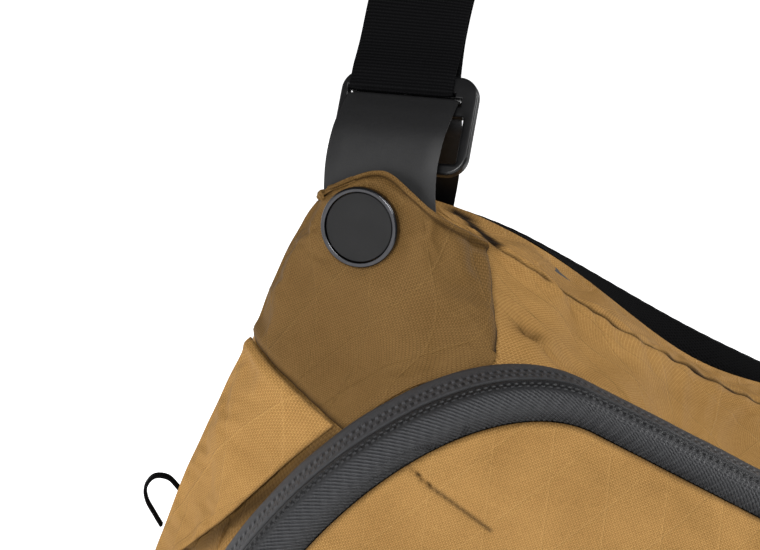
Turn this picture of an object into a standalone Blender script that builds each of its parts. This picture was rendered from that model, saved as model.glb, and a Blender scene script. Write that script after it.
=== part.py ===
"""Sling bag: a landscape shoulder bag with corner strap anchors and a zipped front lid.

Metres, +Z up. The bag stands on its base, the origin is the middle of the base at floor level,
+X is the wearer's right as seen from the front, and the front of the bag faces -Y.
"""
import math

import bmesh
import bpy
from mathutils import Matrix, Vector

COLLECTION = "sling_bag"
CUTTERS = "sling_bag_cutters"

# Driving dimensions, metres.
FABRIC = 0.0014                 # outer laminate with its lining
WING_THICKNESS = 0.0016         # two layers of laminate
GAP = 0.0003                    # between pieces that touch
FABRIC_END_Y = 0.025            # rear end of the fabric shell, where the mesh gusset starts
BACK_Y = 0.040                  # rear end of the mesh gusset
RIDGE_Y = 0.0                   # where the widest outline ends and the shoulder starts
POD_Y = -0.034                  # where the zipped front pod starts
ZIP_Y = -0.050                  # plane of the zipper line
LID_Y = -0.060                  # rim of the front panel
LID_CROWN = 0.006               # how far the front panel domes out
LID_THICKNESS = 0.0025
TAPE = 0.0012                   # coated zipper tape
WEB_WIDTH = 0.0412
WEB_THICKNESS = 0.0016
WEB_PLY_GAP = 0.0023            # middle to middle of two plies of webbing
WEB_SHIFT = -0.0012             # webbing's middle from the bar's middle
TAB_WIDTH = 0.044
TAB_SHIFT = 0.0003
TAB_THICKNESS = 0.0018
FRAME_DEPTH = 0.005
FRAME_HALF_WIDTH = 0.0272
FRAME_SHIFT = 0.0018            # frame's middle from the tab's middle
FRAME_TOP = 0.0138
FRAME_BOTTOM = -0.0253
RAIL = 0.0042
BAR_HALF = 0.0022               # middle bar, above and below its own middle
WEB_SLOT_TOP = 0.0070
STRAP_RISE = 0.212              # top of the strap above the anchor bars
STRAIGHT_END = 0.030            # the strap leaves the bar straight for this far
TWIST_START = 0.152             # arc length from the bar where the strap starts to turn
TWIST_LENGTH = 0.130
DISC_RADIUS = 0.0153
DISC_HEIGHT = 0.0036
POST_RADIUS = 0.0025
SLIDER_LEFT_X = 0.052
SLIDER_RIGHT_X = 0.066

# The strap anchor on the left: bar centre, strap direction, front normals of frame and corner.
BAR_CENTRE = Vector((-0.1530, 0.0090, 0.2529))
STRAP_DIRECTION = Vector((-0.236, 0.534, 0.812)).normalized()
STRAP_NORMAL = Vector((-0.5115, -0.7788, 0.3631))
CORNER_NORMAL = Vector((-0.38, -0.92, -0.03)).normalized()
DISC_CENTRE = Vector((-0.1486, -0.0187, 0.2121))


class Outline:
    """A rounded outline in XZ: flat base, round lower corners, sides, superellipse shoulders."""

    def __init__(self, base, low_x, low_z, centre_x, centre_z, width, height, power, middle_z):
        self.values = (base, low_x, low_z, centre_x, centre_z, width, height, power, middle_z)

    def blend(self, other, share):
        mixed = [a + (b - a) * share for a, b in zip(self.values, other.values)]
        return Outline(*mixed)

    def inset(self, amount):
        base, low_x, low_z, centre_x, centre_z, width, height, power, middle_z = self.values
        return Outline(base + amount, low_x - amount, low_z, centre_x, centre_z,
                       width - amount, height - amount, power, middle_z - amount)

    def half(self):
        """Points (x, z) of the +X half, from the middle of the base to the middle of the top."""
        base, low_x, low_z, centre_x, centre_z, width, height, power, middle_z = self.values
        radius = low_z - base
        points = [(0.0, base), ((low_x - radius) * 0.6, base)]
        for step in range(CORNER_STEPS + 1):
            angle = math.radians(90 * step / CORNER_STEPS)
            points.append((low_x - radius + radius * math.sin(angle), low_z - radius * math.cos(angle)))
        for step in range(1, SIDE_STEPS):
            share = step / SIDE_STEPS
            points.append((low_x + (centre_x + width - low_x) * share,
                           low_z + (centre_z - low_z) * share))
        for step in range(SHOULDER_STEPS + 1):
            angle = math.radians(90 * step / SHOULDER_STEPS)
            points.append((centre_x + width * math.cos(angle) ** (2 / power),
                           centre_z + height * math.sin(angle) ** (2 / power)))
        top = centre_z + height
        for step in range(1, TOP_STEPS + 1):
            share = 1 - step / TOP_STEPS
            rise = share * share * (3 - 2 * share)
            points.append((centre_x * share, middle_z + (top - middle_z) * rise))
        return points

    def ring(self, y):
        """The whole closed outline at depth y."""
        right = self.half()
        left = [(-x, z) for x, z in reversed(right[1:-1])]
        return [Vector((x, y, z)) for x, z in right + left]


CORNER_STEPS = 6
SIDE_STEPS = 3
SHOULDER_STEPS = 9
TOP_STEPS = 5
SEAM_INDEX = 2 + CORNER_STEPS   # outline point at the top of the lower corner, where the zip ends

RIDGE = Outline(0.0, 0.1555, 0.095, 0.144, 0.204, 0.020, 0.0225, 2.0, 0.2165)
STRIP = Outline(0.0, 0.153, 0.075, 0.084, 0.189, 0.077, 0.0369, 2.1, 0.2146)
BACK = Outline(0.0, 0.1475, 0.060, 0.0775, 0.1915, 0.0780, 0.0312, 1.87, 0.2204)
POD_ROOT = Outline(0.0, 0.131, 0.046, 0.050, 0.060, 0.082, 0.139, 1.95, 0.199)
BAND_OUTER = Outline(0.0, 0.1355, 0.046, 0.050, 0.060, 0.0865, 0.144, 1.95, 0.204)
ZIP_LINE = Outline(0.002, 0.1335, 0.046, 0.048, 0.060, 0.086, 0.145, 1.85, 0.205)
BAND_INNER = Outline(0.010, 0.118, 0.046, 0.042, 0.060, 0.076, 0.134, 1.9, 0.194)


# ---------------------------------------------------------------- scene and materials

def start_scene():
    for item in list(bpy.data.objects):
        bpy.data.objects.remove(item, do_unlink=True)
    for name in (COLLECTION, CUTTERS):
        bpy.context.scene.collection.children.link(bpy.data.collections.new(name))


MATERIALS = {
    "shell_fabric": ((0.50, 0.31, 0.13), 0.75, 0.0),
    "zip_tape": ((0.07, 0.072, 0.08), 0.5, 0.0),
    "coated_tab": ((0.02, 0.02, 0.021), 0.45, 0.0),
    "webbing": ((0.006, 0.006, 0.007), 0.8, 0.0),
    "black_plastic": ((0.012, 0.012, 0.013), 0.4, 0.0),
    "dark_metal": ((0.12, 0.12, 0.125), 0.25, 1.0),
    "inlay": ((0.022, 0.022, 0.023), 0.6, 0.0),
    "air_mesh": ((0.008, 0.008, 0.009), 0.9, 0.0),
    "foam": ((0.05, 0.05, 0.052), 0.9, 0.0),
    "lining": ((0.12, 0.125, 0.13), 0.7, 0.0),
    "stiffener": ((0.04, 0.04, 0.04), 0.6, 0.0),
}


def finish_object(obj, kind, smooth=True):
    """Give the object its own material and shade it."""
    colour, roughness, metallic = MATERIALS[kind]
    material = bpy.data.materials.new(obj.name + "_" + kind)
    material.use_nodes = True
    shader = material.node_tree.nodes["Principled BSDF"]
    shader.inputs["Base Color"].default_value = (*colour, 1.0)
    shader.inputs["Roughness"].default_value = roughness
    shader.inputs["Metallic"].default_value = metallic
    obj.data.materials.clear()
    obj.data.materials.append(material)
    if smooth:
        obj.data.shade_smooth()
        obj.data.set_sharp_from_angle(angle=math.radians(35))
    return obj


def new_object(name, mesh, collection=COLLECTION):
    obj = bpy.data.objects.new(name, mesh)
    bpy.data.collections[collection].objects.link(obj)
    return obj


def mesh_from(name, points, faces):
    mesh = bpy.data.meshes.new(name)
    mesh.from_pydata([tuple(p) for p in points], [], faces)
    mesh.validate()
    return mesh


# ---------------------------------------------------------------- form makers

def loft(name, rings, kind, closed_ring=True, capped=True):
    """A surface through rings of equal length, closed by a cap at both ends when capped."""
    count = len(rings[0])
    points = [p for ring in rings for p in ring]
    faces = []
    last = count if closed_ring else count - 1
    for row in range(len(rings) - 1):
        for column in range(last):
            beside = (column + 1) % count
            faces.append((row * count + column, row * count + beside,
                          (row + 1) * count + beside, (row + 1) * count + column))
    if capped:
        faces.append(tuple(reversed(range(count))))
        faces.append(tuple((len(rings) - 1) * count + i for i in range(count)))
    mesh = mesh_from(name, points, faces)
    if capped:
        tidy = bmesh.new()
        tidy.from_mesh(mesh)
        bmesh.ops.recalc_face_normals(tidy, faces=tidy.faces)
        tidy.to_mesh(mesh)
        tidy.free()
    return finish_object(new_object(name, mesh), kind)


def solidify(obj, thickness, offset=-1.0):
    """Thicken an open surface; offset -1 puts the thickness behind its faces."""
    modifier = obj.modifiers.new("thickness", "SOLIDIFY")
    modifier.thickness = thickness
    modifier.offset = offset
    modifier.use_even_offset = True
    modifier.use_quality_normals = True
    return obj


def hoop(name, section, kind):
    """A closed ring body: section is a list of (outline, y) taken round the whole outline."""
    rings = [outline.ring(y) for outline, y in section]
    count = len(rings[0])
    points = [p for ring in rings for p in ring]
    faces = []
    for row in range(len(rings)):
        below = (row + 1) % len(rings)
        for column in range(count):
            beside = (column + 1) % count
            faces.append((row * count + column, row * count + beside,
                          below * count + beside, below * count + column))
    mesh = mesh_from(name, points, faces)
    tidy = bmesh.new()
    tidy.from_mesh(mesh)
    bmesh.ops.recalc_face_normals(tidy, faces=tidy.faces)
    tidy.to_mesh(mesh)
    tidy.free()
    return finish_object(new_object(name, mesh), kind)


def plate(name, outline, back, front, kind, rounding=0.0):
    """A flat pad with the outline's shape between two depths."""
    rings = [outline.inset(rounding).ring(back), outline.ring(back - rounding),
             outline.ring(front + rounding), outline.inset(rounding).ring(front)]
    if rounding == 0.0:
        rings = [outline.ring(back), outline.ring(front)]
    return loft(name, rings, kind)


def smooth_row(points, steps):
    """Points on a Catmull-Rom curve through the given points."""
    ends = [points[0] * 2 - points[1]] + list(points) + [points[-1] * 2 - points[-2]]
    result = []
    for index in range(1, len(ends) - 2):
        a, b, c, d = ends[index - 1:index + 3]
        for step in range(steps):
            t = step / steps
            result.append(0.5 * (2 * b + (c - a) * t + (2 * a - 5 * b + 4 * c - d) * t * t
                                 + (3 * b - a - 3 * c + d) * t ** 3))
    result.append(points[-1].copy())
    return result


def panel(name, rows, kind, steps=4):
    """A sewn panel: a smooth surface through rows of points in millimetres, then thickened."""
    grid = [smooth_row([Vector(p) * 0.001 for p in row], steps) for row in rows]
    columns = [smooth_row([row[i] for row in grid], steps) for i in range(len(grid[0]))]
    rings = [list(ring) for ring in zip(*columns)]
    obj = loft(name, rings, kind, closed_ring=False, capped=False)
    return solidify(obj, WING_THICKNESS)


def ribbon(name, stations, kind, width, thickness, spans=1):
    """A flat strap through stations of (centre, width direction, face normal).

    A strap that twists needs several spans across its width to keep its two faces apart.
    """
    shares = [i / spans - 0.5 for i in range(spans + 1)]
    rings = []
    for centre, across, normal in stations:
        face = normal * thickness / 2
        below = [centre + across * width * share - face for share in shares]
        above = [centre + across * width * share + face for share in reversed(shares)]
        rings.append(below + above)
    return loft(name, rings, kind)


def turned(name, profile, kind, centre, axis, steps=28):
    """A turned piece: profile is (radius, height) from top to bottom, on the given axis."""
    points = [(radius, 0.0, height) for radius, height in profile]
    edges = [(i, i + 1) for i in range(len(points) - 1)]
    mesh = bpy.data.meshes.new(name)
    mesh.from_pydata(points, edges, [])
    obj = new_object(name, mesh)
    screw = obj.modifiers.new("turn", "SCREW")
    screw.steps = steps
    screw.render_steps = steps
    screw.use_merge_vertices = True
    screw.merge_threshold = 0.00002
    finish_object(obj, kind, smooth=False)
    obj.location = centre
    obj.rotation_mode = "QUATERNION"
    obj.rotation_quaternion = axis.to_track_quat("Z", "Y")
    return obj


def outline_plate(name, loops, depth, kind, origin, across, up):
    """A flat plate from closed loops of (across, up) points, centred on the loops' plane."""
    curve = bpy.data.curves.new(name, "CURVE")
    curve.dimensions = "2D"
    curve.fill_mode = "BOTH"
    curve.extrude = depth / 2
    for loop in loops:
        spline = curve.splines.new("POLY")
        spline.points.add(len(loop) - 1)
        for point, (a, b) in zip(spline.points, loop):
            point.co = (a, b, 0.0, 1.0)
        spline.use_cyclic_u = True
    obj = new_object(name, curve)
    normal = across.cross(up)
    obj.matrix_world = Matrix((
        (across.x, up.x, normal.x, origin.x),
        (across.y, up.y, normal.y, origin.y),
        (across.z, up.z, normal.z, origin.z),
        (0.0, 0.0, 0.0, 1.0)))
    bpy.context.view_layer.update()
    graph = bpy.context.evaluated_depsgraph_get()
    mesh = bpy.data.meshes.new_from_object(obj.evaluated_get(graph))
    mesh.transform(obj.matrix_world)
    bpy.data.objects.remove(obj, do_unlink=True)
    weld = bmesh.new()
    weld.from_mesh(mesh)
    bmesh.ops.remove_doubles(weld, verts=weld.verts, dist=0.00001)
    bmesh.ops.recalc_face_normals(weld, faces=weld.faces)
    weld.to_mesh(mesh)
    weld.free()
    return finish_object(new_object(name, mesh), kind)


def rounded_box_loop(left, right, bottom, top, radius, steps=4):
    """A closed rectangle with round corners, counter-clockwise."""
    points = []
    corners = ((right - radius, bottom + radius, -90), (right - radius, top - radius, 0),
               (left + radius, top - radius, 90), (left + radius, bottom + radius, 180))
    for centre_a, centre_b, start in corners:
        for step in range(steps + 1):
            angle = math.radians(start + 90 * step / steps)
            points.append((centre_a + radius * math.cos(angle), centre_b + radius * math.sin(angle)))
    return points


def block(name, low, high, kind, bevel=0.0):
    """A box between two corners, with its edges bevelled when bevel is more than 0."""
    low, high = Vector(low), Vector(high)
    bpy.ops.mesh.primitive_cube_add(size=1.0)
    obj = bpy.context.object
    obj.name = name
    obj.data.name = name
    obj.data.transform(Matrix.Translation((low + high) / 2) @ Matrix.Diagonal((*(high - low), 1.0)))
    for collection in list(obj.users_collection):
        collection.objects.unlink(obj)
    bpy.data.collections[COLLECTION].objects.link(obj)
    if bevel > 0:
        modifier = obj.modifiers.new("edges", "BEVEL")
        modifier.width = bevel
        modifier.segments = 2
    return finish_object(obj, kind)


def mirrored(obj, name):
    """A copy of the evaluated piece on the other side of the bag."""
    bpy.context.view_layer.update()
    graph = bpy.context.evaluated_depsgraph_get()
    mesh = bpy.data.meshes.new_from_object(obj.evaluated_get(graph))
    mesh.transform(Matrix.Diagonal((-1.0, 1.0, 1.0, 1.0)) @ obj.matrix_world)
    mesh.flip_normals()
    mesh.name = name
    twin = new_object(name, mesh)
    material = obj.data.materials[0].copy()
    material.name = name
    mesh.materials.clear()
    mesh.materials.append(material)
    return twin


def drill(obj, centre, axis, radius, length):
    """Cut a round hole along an axis."""
    bpy.ops.mesh.primitive_cylinder_add(vertices=20, radius=radius, depth=length)
    cutter = bpy.context.object
    cutter.name = obj.name + "_hole"
    cutter.location = centre
    cutter.rotation_mode = "QUATERNION"
    cutter.rotation_quaternion = axis.to_track_quat("Z", "Y")
    for collection in list(cutter.users_collection):
        collection.objects.unlink(cutter)
    bpy.data.collections[CUTTERS].objects.link(cutter)
    cutter.display_type = "WIRE"
    cutter.hide_render = True
    modifier = obj.modifiers.new("hole", "BOOLEAN")
    modifier.object = cutter
    modifier.operation = "DIFFERENCE"
    modifier.solver = "EXACT"
    return obj


# ---------------------------------------------------------------- the bag's body

def shoulder(share):
    """Outline and depth of the shell at a share of the way from the ridge to the pod."""
    y = RIDGE_Y + (POD_Y - RIDGE_Y) * share
    return RIDGE.blend(POD_ROOT, 1 - (1 - share) ** 1.25), y


def build_body():
    rings = [STRIP.ring(FABRIC_END_Y), STRIP.ring(0.016), RIDGE.blend(STRIP, 0.5).ring(0.007),
             RIDGE.ring(RIDGE_Y)]
    for share in (0.2, 0.45, 0.7, 1.0):
        outline, y = shoulder(share)
        rings.append(outline.ring(y))
    shell = loft("body_shell", rings, "shell_fabric", capped=False)
    solidify(shell, FABRIC)

    seam = FABRIC_END_Y + GAP
    hoop("back_gusset", [(STRIP, seam), (STRIP.blend(BACK, 0.6), 0.033), (BACK, BACK_Y),
                         (BACK.inset(FABRIC), BACK_Y), (STRIP.blend(BACK, 0.6).inset(FABRIC), 0.033),
                         (STRIP.inset(FABRIC), seam)], "air_mesh")

    wall = 0.0024
    foam = 0.003
    front = RIDGE.blend(STRIP, 0.6)
    hoop("side_padding", [(front.inset(wall), 0.008), (front.inset(wall + foam), 0.008),
                          (STRIP.inset(wall + foam), 0.016), (STRIP.inset(wall + foam), FABRIC_END_Y),
                          (STRIP.inset(wall), FABRIC_END_Y), (STRIP.inset(wall), 0.016)], "foam")

    rim = 0.004
    depth = 0.006
    back = BACK_Y + GAP
    hoop("rear_binding", [(BACK.inset(0.0004), back), (BACK.inset(rim - GAP), back),
                          (BACK.inset(rim - GAP), back + depth), (BACK.inset(0.0014), back + depth)],
         "webbing")
    plate("back_foam", BACK.inset(rim), back + depth, back, "foam")
    plate("back_mesh", BACK.inset(rim + 0.002), back + depth + 0.0045, back + depth + GAP, "air_mesh",
          rounding=0.0015)
    block("base_board", (-0.074, -0.028, 0.0058), (0.074, 0.023, 0.0073), "stiffener", bevel=0.0004)

    pocket_front = 0.0265
    pocket_wall = 0.0012
    half = 0.092
    arm = BACK_Y
    outer = [(-half, arm), (-half, pocket_front), (half, pocket_front), (half, arm)]
    inner = [(half - pocket_wall, arm), (half - pocket_wall, pocket_front + pocket_wall),
             (-half + pocket_wall, pocket_front + pocket_wall), (-half + pocket_wall, arm)]
    low, high = 0.010, 0.130
    outline_plate("inner_pocket", [outer + inner], high - low, "lining",
                  Vector((0.0, 0.0, (low + high) / 2)), Vector((1.0, 0.0, 0.0)), Vector((0.0, 1.0, 0.0)))


def outline_strip(name, section, first, last, kind, thickness):
    """A strip of the pod wall between two outline points on the right, round to the left."""
    rings = [outline.ring(y)[first:last + 1] for outline, y in section]
    obj = loft(name, rings, kind, closed_ring=False, capped=False)
    return solidify(obj, thickness)


def build_pod():
    total = len(RIDGE.ring(0.0))
    zip_start = SEAM_INDEX
    zip_end = total - SEAM_INDEX
    body_band = [(POD_ROOT, POD_Y - GAP), (BAND_OUTER, -0.038), (BAND_OUTER.blend(ZIP_LINE, 0.5), -0.044),
                 (ZIP_LINE, ZIP_Y + GAP)]
    lid_band = [(ZIP_LINE, ZIP_Y - GAP), (ZIP_LINE.blend(BAND_INNER, 0.22), -0.0555),
                (ZIP_LINE.blend(BAND_INNER, 0.6), -0.0595), (BAND_INNER, LID_Y - 0.0002)]
    outline_strip("zip_tape_body", body_band, zip_start, zip_end, "zip_tape", TAPE)
    outline_strip("zip_tape_lid", lid_band, zip_start, zip_end, "zip_tape", TAPE)

    below_zip = 0.001
    base = [(POD_ROOT, POD_Y - GAP), (BAND_OUTER, -0.038), (ZIP_LINE, ZIP_Y),
            (ZIP_LINE.blend(BAND_INNER, 0.35), -0.0565), (ZIP_LINE.blend(BAND_INNER, 0.72), -0.0592)]
    rings = []
    for outline, y in base:
        ring = outline.ring(y)
        right = [p.copy() for p in ring[:SEAM_INDEX + 1]]
        right[-1].z -= below_zip
        left = [Vector((-p.x, p.y, p.z)) for p in reversed(right[1:])]
        rings.append(left + right)
    solidify(loft("pod_base", rings, "shell_fabric", closed_ring=False, capped=False), 0.002)

    rim = BAND_INNER.inset(GAP + 0.0002)
    middle = Vector((0.0, 0.0, 0.098))
    rings = []
    for share in (1.0, 0.93, 0.8, 0.6, 0.35, 0.12):
        y = LID_Y - 0.0002 - LID_CROWN * (1 - share ** 2.5)
        rings.append([Vector((middle.x + (p.x - middle.x) * share, y,
                              middle.z + (p.z - middle.z) * share)) for p in rim.ring(0.0)])
    points = [p for ring in rings for p in ring]
    faces = []
    for row in range(len(rings) - 1):
        for column in range(total):
            beside = (column + 1) % total
            faces.append((row * total + column, row * total + beside,
                          (row + 1) * total + beside, (row + 1) * total + column))
    faces.append(tuple((len(rings) - 1) * total + i for i in range(total)))
    obj = new_object("front_panel", mesh_from("front_panel", points, faces))
    finish_object(obj, "shell_fabric")
    solidify(obj, LID_THICKNESS)


# ---------------------------------------------------------------- corner wings

TONGUE_ROWS = (
    ((-163, -1.5, 148), (-160, -9, 147.5), (-149, -19.5, 146), (-136, -28.5, 144.5), (-122, -34, 142)),
    ((-165.5, -1.5, 172), (-162, -10, 173), (-149, -17.6, 174), (-129, -28, 172), (-108.5, -35.5, 169)),
    ((-166.9, -2.2, 187), (-163.6, -11, 188.5), (-149, -17.9, 191), (-125.5, -28.8, 191), (-91, -36.2, 187)),
    ((-166.8, -3, 197), (-163.6, -12, 200), (-149.3, -18.1, 204), (-124, -28.7, 205), (-84, -35.5, 198)),
    ((-167.1, -5.6, 206.9), (-163.8, -12.8, 212.6), (-150.2, -18.3, 219.5), (-125.5, -28.1, 219),
     (-90.5, -22, 211)),
    ((-166.1, -9.0, 213.0), (-163.6, -13.2, 221.0), (-151, -18.4, 235), (-129, -27, 232), (-101, -8.5, 226)),
)
LOWER_WING_ROWS = (
    ((-153.5, -2, 50), (-151.5, -6, 51), (-150, -10, 52), (-149, -13, 54)),
    ((-158.2, -1.5, 84), (-154.5, -9, 85), (-147.5, -19, 85.5), (-140, -27, 86)),
    ((-160.8, -1.5, 115), (-156, -10.5, 115), (-145, -22, 114.5), (-132.3, -31, 114)),
    ((-163, -1.5, 147.2), (-156, -13.8, 146), (-141, -25.6, 143.8), (-122.6, -34, 141.2)),
)


def build_wings():
    tongue = panel("wing_upper_left", TONGUE_ROWS, "shell_fabric", steps=3)
    drill(tongue, DISC_CENTRE, CORNER_NORMAL, POST_RADIUS + GAP, 0.02)
    lower = panel("wing_lower_left", LOWER_WING_ROWS, "shell_fabric")
    mirrored(tongue, "wing_upper_right")
    mirrored(lower, "wing_lower_right")


# ---------------------------------------------------------------- strap anchors

def anchor_axes():
    """Width, strap and normal directions of the left anchor, at right angles to each other."""
    up = STRAP_DIRECTION
    across = up.cross(STRAP_NORMAL).normalized()
    normal = across.cross(up).normalized()
    return across, up, normal


# Front leg as offsets from the bar's centre along the frame's normal, the strap and the bar.
TAB_LEG = ((0.0036, 0.0026, 0.0), (0.0085, -0.0050, 0.0), (0.0112, -0.0140, -0.0008),
           (0.0098, -0.0255, -0.0017), (0.0060, -0.0360, -0.0016), (0.0014, -0.0460, -0.0005),
           (-0.0042, -0.0570, 0.0004))
TAB_FOLD_START = 36             # degrees above the bar's front where the front leg leaves the fold
TAB_BEHIND = (0.0064, 0.0030)   # where the rear leg clears the bar: behind and below its centre
TAB_END_NARROWING = 0.17        # share of the width that the riveted end loses
TAB_REAR = ((-0.1438, 0.0205, 0.2385), (-0.1387, 0.0284, 0.2287), (-0.1335, 0.0378, 0.2166))


def build_anchor_tab():
    """Coated tab folded over the frame's bar: front leg behind the wing, rear leg to the back."""
    across, up, normal = anchor_axes()
    fold_n, fold_d, squareness = 0.0041, 0.0039, 2 / 3
    middle = BAR_CENTRE + across * TAB_SHIFT
    leg = [middle + normal * n + up * d + across * b for n, d, b in reversed(TAB_LEG)]
    centres = smooth_row(leg, 2)[:-1]
    for step in range(9):
        angle = math.radians(TAB_FOLD_START + (180 - TAB_FOLD_START) * step / 8)
        cosine, sine = math.cos(angle), abs(math.sin(angle))
        n = math.copysign(fold_n * abs(cosine) ** squareness, cosine)
        centres.append(middle + normal * n + up * fold_d * sine ** squareness)
    centres.append(middle - normal * TAB_BEHIND[0] - up * TAB_BEHIND[1])
    centres += [Vector(point) for point in TAB_REAR]
    stations = []
    for index, centre in enumerate(centres):
        along = (centres[min(index + 1, len(centres) - 1)] - centres[max(index - 1, 0)]).normalized()
        sideways = (across - along * across.dot(along)).normalized()
        narrowing = TAB_END_NARROWING * max(0.0, 1 - index / 8)
        stations.append((centre, sideways * (1 - narrowing), sideways.cross(along)))
    tab = ribbon("anchor_tab_left", stations, "coated_tab", TAB_WIDTH, TAB_THICKNESS, spans=2)
    drill(tab, DISC_CENTRE - CORNER_NORMAL * 0.003, CORNER_NORMAL, POST_RADIUS + GAP, 0.010)
    mirrored(tab, "anchor_tab_right")


def build_frames():
    across, up, _ = anchor_axes()
    outer = rounded_box_loop(FRAME_SHIFT - FRAME_HALF_WIDTH, FRAME_SHIFT + FRAME_HALF_WIDTH,
                             FRAME_BOTTOM, FRAME_TOP, 0.008)
    web_side = WEB_WIDTH / 2 + 0.0005
    tab_side = TAB_WIDTH / 2 + 0.0004
    left = TAB_SHIFT - tab_side
    right = FRAME_SHIFT + FRAME_HALF_WIDTH - RAIL
    step_height = 0.0050        # the slot is as wide as the tab below this, and as the webbing above
    web_slot = [(TAB_SHIFT - tab_side, BAR_HALF), (TAB_SHIFT + tab_side, BAR_HALF),
                (TAB_SHIFT + tab_side, step_height), (WEB_SHIFT + web_side, step_height),
                (WEB_SHIFT + web_side, WEB_SLOT_TOP), (WEB_SHIFT - web_side, WEB_SLOT_TOP),
                (WEB_SHIFT - web_side, step_height), (TAB_SHIFT - tab_side, step_height)]
    tab_slot = rounded_box_loop(left, right, FRAME_BOTTOM + 0.0045, -BAR_HALF, 0.0012, 2)
    frame = outline_plate("strap_frame_left", [outer, web_slot, tab_slot], FRAME_DEPTH, "black_plastic",
                          BAR_CENTRE, across, up)
    mirrored(frame, "strap_frame_right")


def build_discs():
    base = DISC_CENTRE + CORNER_NORMAL * 0.0012
    groove = DISC_RADIUS - 0.0019
    rim_profile = [(groove, DISC_HEIGHT - 0.0006), (groove + 0.0003, DISC_HEIGHT),
                   (DISC_RADIUS - 0.0008, DISC_HEIGHT), (DISC_RADIUS, DISC_HEIGHT - 0.0012),
                   (DISC_RADIUS, 0.0), (groove, 0.0), (groove, DISC_HEIGHT - 0.0006)]
    rim = turned("disc_rim_left", rim_profile, "dark_metal", base, CORNER_NORMAL)
    inlay_radius = groove - GAP
    inlay_profile = [(0.0, DISC_HEIGHT - 0.0004), (inlay_radius - 0.0004, DISC_HEIGHT - 0.0004),
                     (inlay_radius, DISC_HEIGHT - 0.0008), (inlay_radius, 0.0006),
                     (POST_RADIUS + GAP, 0.0006), (POST_RADIUS + GAP, 0.0015), (0.0, 0.0015)]
    inlay = turned("disc_inlay_left", inlay_profile, "inlay", base, CORNER_NORMAL)
    washer_back = -0.0099
    post_profile = [(0.0, 0.0012), (POST_RADIUS, 0.0012), (POST_RADIUS, washer_back - 0.0006),
                    (0.0, washer_back - 0.0006)]
    post = turned("disc_post_left", post_profile, "dark_metal", base, CORNER_NORMAL)
    washer_front = -0.0067
    washer_profile = [(POST_RADIUS + GAP, washer_front), (0.0065, washer_front),
                      (0.0065, washer_front - 0.0012), (POST_RADIUS + GAP, washer_front - 0.0012),
                      (POST_RADIUS + GAP, washer_front)]
    washer = turned("disc_washer_left", washer_profile, "dark_metal", base, CORNER_NORMAL)
    for obj in (rim, inlay, post, washer):
        mirrored(obj, obj.name.replace("_left", "_right"))


def build_gear_loops():
    """Small flat loops sewn into the rear edge of each side."""
    y = 0.0205
    route = [Vector((x, y, z)) for x, z in (
        (-0.1538, 0.0690), (-0.1600, 0.0712), (-0.1652, 0.0690), (-0.1662, 0.0635), (-0.1632, 0.0586),
        (-0.1575, 0.0545), (-0.1530, 0.0515))]
    centres = smooth_row(route, 3)
    stations = []
    for index, centre in enumerate(centres):
        ahead = centres[min(index + 1, len(centres) - 1)]
        behind = centres[max(index - 1, 0)]
        along = (ahead - behind).normalized()
        sideways = Vector((0.0, 1.0, 0.0))
        stations.append((centre, sideways, along.cross(sideways).normalized()))
    loop = ribbon("gear_loop_left", stations, "webbing", 0.0042, 0.0014)
    mirrored(loop, "gear_loop_right")


# ---------------------------------------------------------------- the strap

def arch_half():
    """Middle line of the left half of the strap, from the bar to the top, evenly spaced."""
    lift = BAR_CENTRE.z + STRAP_RISE
    lean = STRAP_DIRECTION.y / STRAP_DIRECTION.z
    top = Vector((0.0, BAR_CENTRE.y + lean * STRAP_RISE, lift))
    start = BAR_CENTRE + STRAP_DIRECTION * STRAIGHT_END
    start_pull = start + STRAP_DIRECTION * 0.120
    end_pull = top + Vector((-0.125, 0.0, 0.0))
    fine = 400
    dense = [BAR_CENTRE.copy()]
    for index in range(fine + 1):
        t = index / fine
        dense.append(start * (1 - t) ** 3 + start_pull * 3 * t * (1 - t) ** 2
                     + end_pull * 3 * t * t * (1 - t) + top * t ** 3)
    return dense


class Arch:
    """The strap's middle line with a width direction that turns from the corner to the top."""

    def __init__(self):
        left = arch_half()
        right = [Vector((-p.x, p.y, p.z)) for p in reversed(left[:-1])]
        self.points = left + right
        self.lengths = [0.0]
        for a, b in zip(self.points, self.points[1:]):
            self.lengths.append(self.lengths[-1] + (b - a).length)
        self.length = self.lengths[-1]

    def position(self, s):
        for index in range(len(self.points) - 1):
            if self.lengths[index + 1] >= s:
                share = (s - self.lengths[index]) / (self.lengths[index + 1] - self.lengths[index])
                return self.points[index].lerp(self.points[index + 1], share)
        return self.points[-1].copy()

    def frame(self, s):
        """Centre, width direction and outward normal at arc length s from the left bar."""
        if s > self.length / 2:
            centre, across, normal = self.frame(self.length - s)
            mirror = Vector((-1.0, 1.0, 1.0))
            return centre * mirror, across * mirror, normal * mirror
        centre = self.position(s)
        along = (self.position(s + 0.001) - self.position(max(s - 0.001, 0.0))).normalized()
        corner_across = anchor_axes()[0]
        share = min(1.0, max(0.0, (s - TWIST_START) / TWIST_LENGTH))
        share = share * share * (3 - 2 * share)
        crown_across = Vector((0.0, -STRAP_DIRECTION.z, STRAP_DIRECTION.y)).normalized()
        wanted = corner_across * (1 - share) + crown_across * share
        across = (wanted - along * wanted.dot(along)).normalized()
        normal = across.cross(along).normalized()
        return centre + across * WEB_SHIFT, across, normal


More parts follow.
